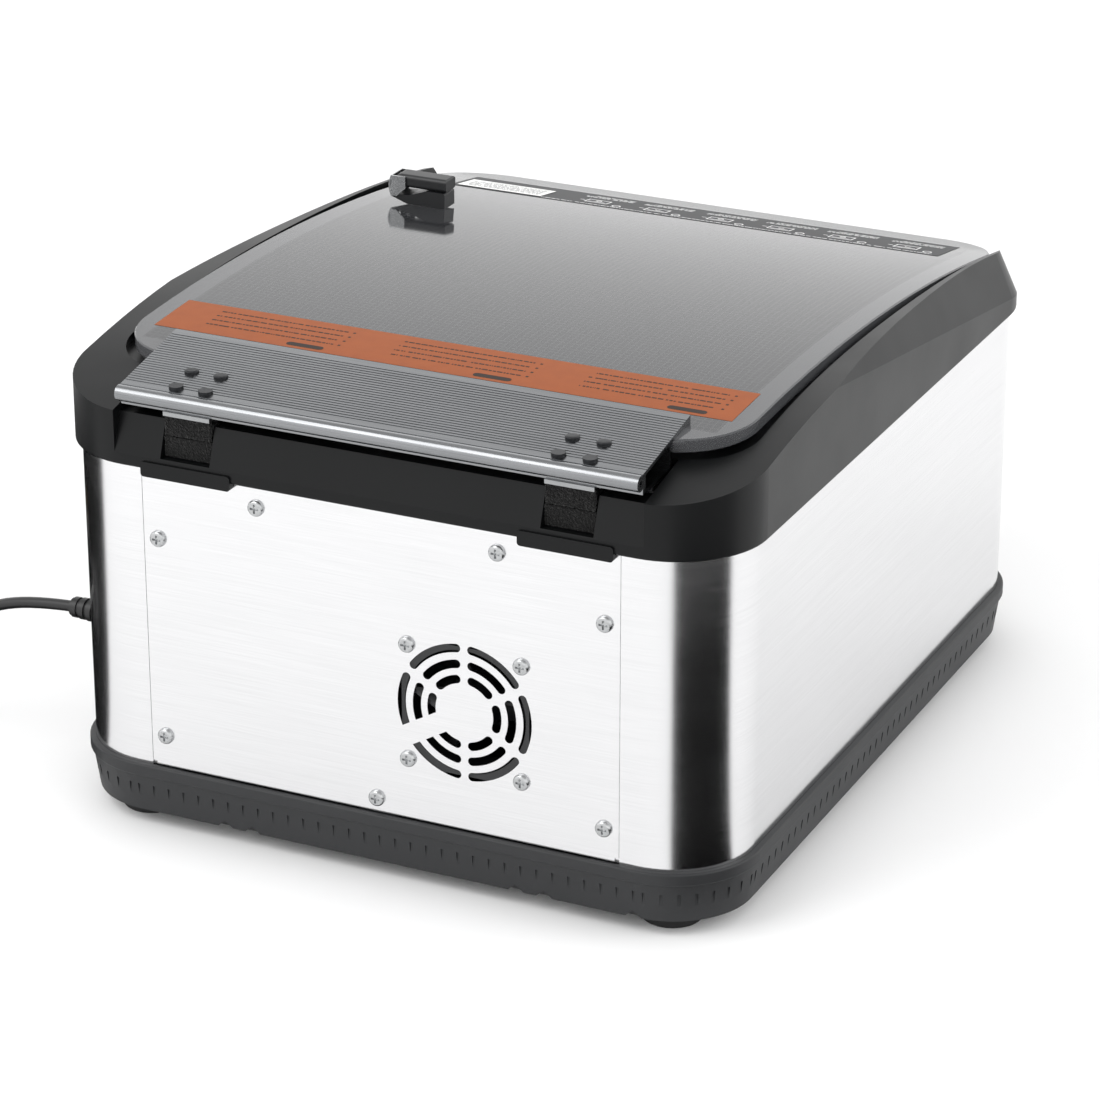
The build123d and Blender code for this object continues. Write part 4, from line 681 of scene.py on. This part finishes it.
def rules(u, v, width, count, pitch, height, seed):
    """Lines of print without letters: rows of short dashes of uneven length."""
    cells = []
    for row in range(count):
        y = v - row * pitch
        x = u - width / 2
        row_end = u + width / 2 - (0.18 * width if row == count - 1 else 0)
        k = 0
        while x < row_end:
            dash = (1.1 + 2.6 * noise.cell(Vector((k + 0.5, row + 0.5, seed + 0.5)))) * mm
            dash = min(dash, row_end - x)
            if dash > 0.4 * mm:
                cells.append(bar(x + dash / 2, y, dash, height))
            x += dash + 0.7 * mm
            k += 1
    return cells


def strip_cells(x0, x1, y0, y1, count):
    """A strip cut across Y, so that it can follow the arch."""
    cells = []
    for i in range(count):
        low, high = (y0 + (y1 - y0) * k / count for k in (i, i + 1))
        cells.append([(x0, low), (x1, low), (x1, high), (x0, high)])
    return cells


# %% Film finishes
def printed(name, dark, light, gloss, **constants):
    """A printed film: ink of a slightly uneven colour under a thin clear coat."""
    material, tree, shader, where = new_finish(
        name, Roughness=gloss, IOR=1.5, Specular_IOR_Level=0.2, **constants)
    ink = add(tree, "ShaderNodeTexNoise", {"Vector": where, "Scale": 1 / (9 * mm), "Detail": 6.0})
    grain = add(tree, "ShaderNodeTexNoise", {
        "Vector": where, "Scale": 1 / (0.8 * mm), "Detail": 1.0,
    })
    colour = add(tree, "ShaderNodeMix", {
        "Factor": ink.outputs["Fac"], FIRST: linear(dark), SECOND: linear(light),
    }, data_type="RGBA")
    bump = add(tree, "ShaderNodeBump", {
        "Height": grain.outputs["Fac"], "Strength": 0.3, "Distance": 0.01 * mm,
    })
    tree.links.new(colour.outputs[BLEND], shader.inputs["Base Color"])
    tree.links.new(bump.outputs["Normal"], shader.inputs["Normal"])
    return material


orange_film = printed("printed_orange_polyester_film", "#8C451A", "#9C501E", 0.5)
brown_ink = printed("printed_brown_ink", "#1E120B", "#2A1A10", 0.5)
dark_film = printed("printed_dark_grey_polyester_film", "#2A2B2D", "#333436", 0.5)
white_ink = printed("printed_white_ink", "#EDEDED", "#F8F8F8", 0.5)
white_film = printed("printed_white_vinyl_sticker", "#F2F2F0", "#FAFAF8", 0.5)
grey_ink = printed("printed_grey_ink", "#6E6F71", "#828385", 0.4)
print("made:", orange_film.name, dark_film.name, white_film.name)

# %% [markdown]
# ## The orange band
#
# The band runs nearly the lid's width. Its print sits in three blocks side by side, each
# with a dark rounded tag at its rear edge, then bullets and lines, all upside down to
# someone behind the machine because they are read from the front.

# %% Orange band
band_x, band_y0, band_y1 = 183.0 * mm, 135.0 * mm, 176.0 * mm
slab("orange_band", strip_cells(-band_x, band_x, band_y0, band_y1, 6),
     on_lid(film_lift), film_thickness, orange_film, "lid")
band_print, band_tags = [], []
for block, block_x in enumerate((-120, 0, 120)):
    band_tags.append(pill((block_x - 34) * mm, 171 * mm, 24 * mm, 4.6 * mm))
    for row, row_y in enumerate((163, 156.5, 150, 143.5)):
        band_print.append(bar((block_x - 52) * mm, row_y * mm, 1.6 * mm, 1.6 * mm))
        band_print += rules(
            (block_x + 3) * mm, row_y * mm, 102 * mm, 1, 4 * mm, 1.3 * mm, block * 7 + row)
print_lift = film_lift + film_thickness
slab("orange_band_tags", band_tags, on_lid(print_lift), 0.05 * mm, brown_ink, "lid")
print("orange band dashes:", len(band_print))
slab(
    "orange_band_print", band_print, on_lid(print_lift), 0.05 * mm, brown_ink, "lid")

# %% [markdown]
# ## The front band
#
# The front band shows the steps of use as small drawings. Here they are six plain
# pictograms, each a pouch, a ring or an arrow with two lines of dashes under it.

# %% Front band
strip_x0, strip_x1, strip_y0, strip_y1 = -172.0 * mm, 168.0 * mm, -222.0 * mm, -181.0 * mm
slab("front_band", strip_cells(strip_x0, strip_x1, strip_y0, strip_y1, 6),
     on_lid(film_lift), film_thickness, dark_film, "lid")
drawings = []
line = 0.7 * mm
for k, x in enumerate((-148, -104, -62, -20, 24, 66)):
    u, v = x * mm, -196 * mm
    drawings += rules(u, v - 13 * mm, 34 * mm, 3, 2.6 * mm, 0.9 * mm, 40 + k)
    drawings += hoop(u - 14 * mm, v + 7 * mm, 3.0 * mm, line, 16)
    drawings += box_line(u + 2 * mm, v, 16 * mm, 10 * mm, line)
    drawings += [bar(u + 2 * mm, v + 2.4 * mm, 12 * mm, line), bar(u + 13 * mm, v, 3.2 * mm, line)]
    drawings += hoop(u + 2 * mm, v - 1.6 * mm, 2.0 * mm, line, 12, 1.0 if k % 2 else 0.5)
drawings += rules(-2 * mm, -184 * mm, 330 * mm, 1, 3 * mm, 0.9 * mm, 60)
slab(
    "front_band_drawings", drawings, on_lid(print_lift), 0.05 * mm, white_ink, "lid")
print("front band cells:", len(drawings))
slab("rating_sticker", [bar(134 * mm, -196 * mm, 60 * mm, 25 * mm)],
     on_lid(print_lift + 0.3 * mm), 0.1 * mm, white_film, "lid")
slab("rating_sticker_print", rules(134 * mm, -187.5 * mm, 53 * mm, 7, 2.9 * mm, 1.1 * mm, 80),
     on_lid(print_lift + 0.4 * mm), 0.05 * mm, grey_ink, "lid")

# %% [markdown]
# ## Felt in the hinge recesses
#
# A felt tongue closes each hinge recess. The fixed half is a packed block, so it is replaced
# by a pad with a fibrous face: a fine grid pushed in and out by noise. The other half hangs
# from the hinge rail, hides the knuckles and turns with the lid.

# %% Felt pads and tongues
def felt_slab(name, low, high, cell, rough, body):
    """A box with fine cells and an uneven, fibrous surface that stays near the box's faces."""
    shell = bmesh.new()
    bmesh.ops.create_cube(shell, size=1.0)
    size, middle = high - low, (high + low) / 2
    bmesh.ops.scale(shell, vec=size, verts=shell.verts)
    bmesh.ops.translate(shell, vec=middle, verts=shell.verts)
    cuts = {0: int(size.x / cell), 2: int(size.z / cell), 1: max(int(size.y / cell), 1)}
    for axis, count in cuts.items():
        edges = [
            e for e in shell.edges if abs((e.verts[1].co - e.verts[0].co).normalized()[axis]) > 0.9]
        bmesh.ops.subdivide_edges(shell, edges=edges, cuts=count, use_grid_fill=True)
    shell.normal_update()
    for vert in shell.verts:
        push = noise.noise(vert.co / (1.1 * mm)) + 0.6 * noise.noise(vert.co / (0.45 * mm))
        vert.co += vert.normal * push * rough
    data = bpy.data.meshes.new(name)
    shell.to_mesh(data)
    shell.free()
    piece = bpy.data.objects.new(name, data)
    bpy.context.scene.collection.objects.link(piece)
    data.materials.append(finishes["felt"])
    for face in data.polygons:
        face.use_smooth = True
    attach(piece, body)
    return piece


pads_low, pads_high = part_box("felt_pads")
pins_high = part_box("hinge_pins")[1]
felt_rough = 0.28 * mm
felt_cell = 0.55 * mm
felt_wide = 31.0 * mm
for side, name in ((-1, "left"), (1, "right")):
    x = side * (pads_high.x - 16 * mm)
    low = Vector((x - felt_wide / 2, pads_low.y, pads_low.z + 0.4 * mm))
    high = Vector((x + felt_wide / 2, pads_high.y - 0.2 * mm, pads_high.z))
    felt_slab(f"felt_pad_{name}", low, high, felt_cell, felt_rough, "housing")
    low = Vector((x - felt_wide / 2 + 0.6 * mm, pins_high.y + 3.2 * mm, pads_high.z + 1.1 * mm))
    high = Vector((x + felt_wide / 2 - 0.6 * mm, pins_high.y + 4.7 * mm, pins_high.z + 5.4 * mm))
    felt_slab(f"felt_tongue_{name}", low, high, felt_cell, felt_rough, "lid")
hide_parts("felt_pads")

# %% [markdown]
# ## Gauge, display and button marks
#
# The gauge's dial carries ticks on three quarters of a circle, longer at each fifth, and the
# numbers 0 to 10. Buttons carry plain symbols raised a fraction of a millimetre. The display
# is off, so its digits are only a shade lighter than the black behind them.

# %% Dial marks
dial_low, dial_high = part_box("gauge_dial")
dial_x = (dial_low.x + dial_high.x) / 2
dial_z = (dial_low.z + dial_high.z) / 2
dial_face = dial_high.y - 3.0 * mm


def on_front(face_y):
    """A surface for slab that lies on an upright plane facing the front."""
    return lambda x, z, out: (x, face_y - out, z)


dial_ticks = []
for i in range(51):
    a = math.radians(225 - 270 * i / 50)
    long_tick = i % 5 == 0
    inner_r, outer_r = (14.2 if long_tick else 16.4) * mm, 18.6 * mm
    half = (0.45 if long_tick else 0.22) * mm
    along = Vector((math.cos(a), math.sin(a)))
    across = Vector((-along.y, along.x)) * half
    middle = Vector((dial_x, dial_z))
    dial_ticks.append([tuple(middle + p) for p in (
        along * inner_r - across, along * outer_r - across,
        along * outer_r + across, along * inner_r + across)])
black_ink = printed("printed_black_ink", "#141414", "#202020", 0.45)
red_ink = printed("printed_red_ink", "#A32018", "#B52A20", 0.45)
slab(
    "dial_ticks", dial_ticks, on_front(dial_face), 0.05 * mm, black_ink,
    "housing")


# %% Numbers on the dial
def number_mesh(text, x, z, size):
    """The outline of a number as mesh corners and faces, standing on the front."""
    words = bpy.data.curves.new("number", "FONT")
    words.body = text
    words.size = size
    words.align_x, words.align_y = "CENTER", "CENTER"
    words.extrude = 0.03 * mm
    maker = bpy.data.objects.new("number", words)
    data = bpy.data.meshes.new_from_object(maker)
    corners = [(x + v.co.x, dial_face - 0.03 * mm - v.co.z, z + v.co.y) for v in data.vertices]
    faces = [tuple(p.vertices) for p in data.polygons]
    bpy.data.objects.remove(maker)
    bpy.data.curves.remove(words)
    bpy.data.meshes.remove(data)
    return corners, faces


number_ring = 11.0 * mm
number_height = 4.0 * mm
corners, faces = [], []
for i in range(6):
    a = math.radians(225 - 270 * i / 5)
    x, z = dial_x + number_ring * math.cos(a), dial_z + number_ring * math.sin(a)
    spots, cells = number_mesh(str(2 * i), x, z, number_height)
    faces += [tuple(c + len(corners) for c in cell) for cell in cells]
    corners += spots
dial_numbers = mesh_piece("dial_numbers", corners, faces)
dial_numbers.data.materials.append(black_ink)
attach(dial_numbers, "housing")
print("dial ticks:", len(dial_ticks), "and number faces:", len(faces))

# %% Unlit display digits
window_low, window_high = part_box("display_window")
display_x = (window_low.x + window_high.x) / 2
display_z = (window_low.z + window_high.z) / 2
dim_segment = moulded(
    "unlit_display_segment", "#1C1F22", "#212427", 3.0, 0.3, 0.02, 0.002, IOR=1.49)
segments = []
for digit in (-24, -8, 8, 24):
    u, v, w, h, t = display_x + digit * mm, display_z, 9.0 * mm, 9.0 * mm, 1.5 * mm
    segments += [bar(u, v + z, w - t, t) for z in (-h, 0, h)]
    segments += [bar(u + x * w / 2, v + z * h / 2, t, h - t) for x in (-1, 1) for z in (-1, 1)]
print("unlit segments:", len(segments))
slab(
    "display_digits", segments, on_front(window_low.y), 0.05 * mm, dim_segment,
    "housing")

# %% Button symbols
flake_half = 3.2 * mm
flake_line = 0.35 * mm


def arrow(u, v):
    """A stem over a point, for drawing the air out."""
    point = [(u - 2.2 * mm, v - 1 * mm), (u, v - 3.8 * mm), (u + 2.2 * mm, v - 1 * mm)]
    return [bar(u, v, 0.9 * mm, 6 * mm), point]


def bubbles(u, v):
    """A large and a small ring, for gas."""
    large = hoop(u - 1.2 * mm, v, 1.9 * mm, 0.7 * mm, 14)
    return large + hoop(u + 1.9 * mm, v + 1.6 * mm, 1.2 * mm, 0.6 * mm, 12)


def flake(u, v):
    """Three crossed bars, for cooling."""
    cells = []
    for a in (math.radians(90), math.radians(30), math.radians(150)):
        cells.append([
            (u + r * math.cos(a) + w * math.sin(a), v + r * math.sin(a) - w * math.cos(a))
            for r, w in ((flake_half, flake_line), (flake_half, -flake_line),
                         (-flake_half, -flake_line), (-flake_half, flake_line))
        ])
    return cells


symbols = {
    "vacuum_button": arrow,
    "gas_button": bubbles,
    "seal_button": lambda u, v: [bar(u, v + side * 1.2 * mm, 7 * mm, 0.9 * mm) for side in (1, -1)],
    "cool_button": flake,
    "stop_button": lambda u, v: [bar(u, v, 5 * mm, 5 * mm)],
    "set_button": lambda u, v: [bar(u + x * mm, v, 1.4 * mm, 1.4 * mm) for x in (-2.6, 0, 2.6)],
}
for button, draw in symbols.items():
    low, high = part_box(button)
    ink = red_ink if button == "stop_button" else black_ink
    slab(f"{button}_symbol", draw((low.x + high.x) / 2, (low.z + high.z) / 2), on_front(low.y),
         0.08 * mm, ink, button)
print("buttons marked:", len(symbols))

# %% Lines and marks on the fascia
fascia_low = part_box("control_fascia")[0]
rocker_low, rocker_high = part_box("rocker_frame")
rocker_x = (rocker_low.x + rocker_high.x) / 2
panel_lines = box_line(display_x, display_z, 74 * mm, 34 * mm, 0.6 * mm)
panel_lines += box_line(45 * mm, display_z, 82 * mm, 78 * mm, 0.6 * mm)
panel_lines += hoop(rocker_x, rocker_high.z + 9 * mm, 2.6 * mm, 0.6 * mm, 18)
panel_lines += [bar(rocker_x, rocker_low.z - 9 * mm, 0.7 * mm, 5 * mm)]
slab(
    "fascia_lines", panel_lines, on_front(fascia_low.y), 0.06 * mm, white_ink,
    "housing")

# %% [markdown]
# ## Studio
#
# A pale floor lies under the machine. Steel shows only what it reflects, so the room is the
# finish. Seen from above, an upright steel wall mirrors the floor in front of it, so the pale
# floor makes the panels near white. A fan of black card on the floor round each rear corner
# puts the dark stripe into the rounded steel. Only reflections see the cards. The light is
# soft: a bright even room, a large lamp over the rear left and a weaker one at the side.

# %% Floor
floor_size = 12.0
floor_data = bpy.data.meshes.new("studio_floor")
floor_corners = [
    (x * floor_size, y * floor_size, 0.0) for x, y in ((-1, -1), (1, -1), (1, 1), (-1, 1))]
floor_data.from_pydata(floor_corners, [], [(0, 1, 2, 3)])
floor = bpy.data.objects.new("studio_floor", floor_data)
bpy.context.scene.collection.objects.link(floor)
floor_finish, tree, shader, where = new_finish("matt_white_paper_floor", Roughness=0.9, IOR=1.3)
fibre = add(tree, "ShaderNodeTexNoise", {"Vector": where, "Scale": 3.0, "Detail": 2.0})
colour = add(tree, "ShaderNodeMix", {
    "Factor": fibre.outputs["Fac"], FIRST: linear("#F4F4F4"), SECOND: linear("#F7F7F7"),
}, data_type="RGBA")
tree.links.new(colour.outputs[BLEND], shader.inputs["Base Color"])
floor_data.materials.append(floor_finish)
print("floor side, m:", 2 * floor_size)

# %% Room light
world = bpy.data.worlds.new("white_room")
bpy.context.scene.world = world
world.use_nodes = True
room = world.node_tree
room.nodes.clear()
heading = add(room, "ShaderNodeSeparateXYZ", {
    "Vector": add(room, "ShaderNodeTexCoord").outputs["Generated"],
})
glow = add(room, "ShaderNodeMapRange", {
    "Value": heading.outputs["Z"], "From Min": 0.5, "From Max": 0.75, "To Min": 1.5, "To Max": 0.8,
}, interpolation_type="SMOOTHSTEP")
backdrop = add(room, "ShaderNodeBackground", {
    "Strength": glow.outputs["Result"], "Color": linear("#FFFFFF"),
})
add(room, "ShaderNodeOutputWorld", {"Surface": backdrop.outputs["Background"]})
print("room light nodes:", len(room.nodes))


# %% Lamps
def lamp(name, place, aim, size, watts):
    """A large soft lamp that lights and reflects but isn't seen itself."""
    data = bpy.data.lights.new(name, "AREA")
    data.shape = "RECTANGLE"
    data.size, data.size_y = size
    data.energy = watts
    thing = bpy.data.objects.new(name, data)
    bpy.context.scene.collection.objects.link(thing)
    thing.location = place
    thing.rotation_euler = (Vector(aim) - Vector(place)).to_track_quat("-Z", "Y").to_euler()
    thing.visible_camera = False
    return thing


lamp("key_lamp", (1.2, 1.6, 2.2), (0, 0, 0.15), (1.6, 1.6), 26.0)
lamp("side_lamp", (-2.2, -0.4, 1.2), (0, 0, 0.15), (1.4, 1.4), 14.0)

# %% Black card
card_lift = 0.8 * mm
card_near, card_far = 70.0 * mm, 750.0 * mm
card_finish, tree, shader, where = new_finish("black_velvet_card", Roughness=1.0, IOR=1.0)
nap = add(tree, "ShaderNodeTexNoise", {"Vector": where, "Scale": 400.0})
colour = add(tree, "ShaderNodeMix", {
    "Factor": nap.outputs["Fac"], FIRST: linear("#050505"), SECOND: linear("#0A0A0A"),
}, data_type="RGBA")
tree.links.new(colour.outputs[BLEND], shader.inputs["Base Color"])


def card(name, corner, heading_low, heading_high):
    """A fan of black card on the floor round a corner, between two headings from +Y towards -X."""
    count = 14
    corners, faces = [], []
    for i in range(count + 1):
        a = math.radians(heading_low + (heading_high - heading_low) * i / count)
        for reach in (card_near, card_far):
            corners.append(
                (corner.x - reach * math.sin(a), corner.y + reach * math.cos(a), card_lift))
    for i in range(count):
        faces.append((2 * i, 2 * i + 2, 2 * i + 3, 2 * i + 1))
    thing = mesh_piece(name, corners, faces)
    thing.data.materials.append(card_finish)
    thing.visible_camera = False
    thing.visible_diffuse = False
    thing.visible_shadow = False
    thing.visible_transmission = False
    return thing


wrap_low, wrap_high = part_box("body_wrap")
corner_in = 45.0 * mm
card("card_right", Vector((wrap_low.x + corner_in, wrap_high.y - corner_in)), 21, 95)
card("card_left", Vector((wrap_high.x - corner_in, wrap_high.y - corner_in)), -155, -69)
print("cards reach, mm:", round(card_far / mm))

# %% [markdown]
# ## Colour response
#
# The usual filmic response turns a white ground grey. The plain one keeps a finish's colours
# as they were chosen and lets the ground stay pale, which suits a part on a white sheet.

# %% Plain colour response
bpy.context.scene.view_settings.view_transform = "Standard"
print("view transform:", bpy.context.scene.view_settings.view_transform)
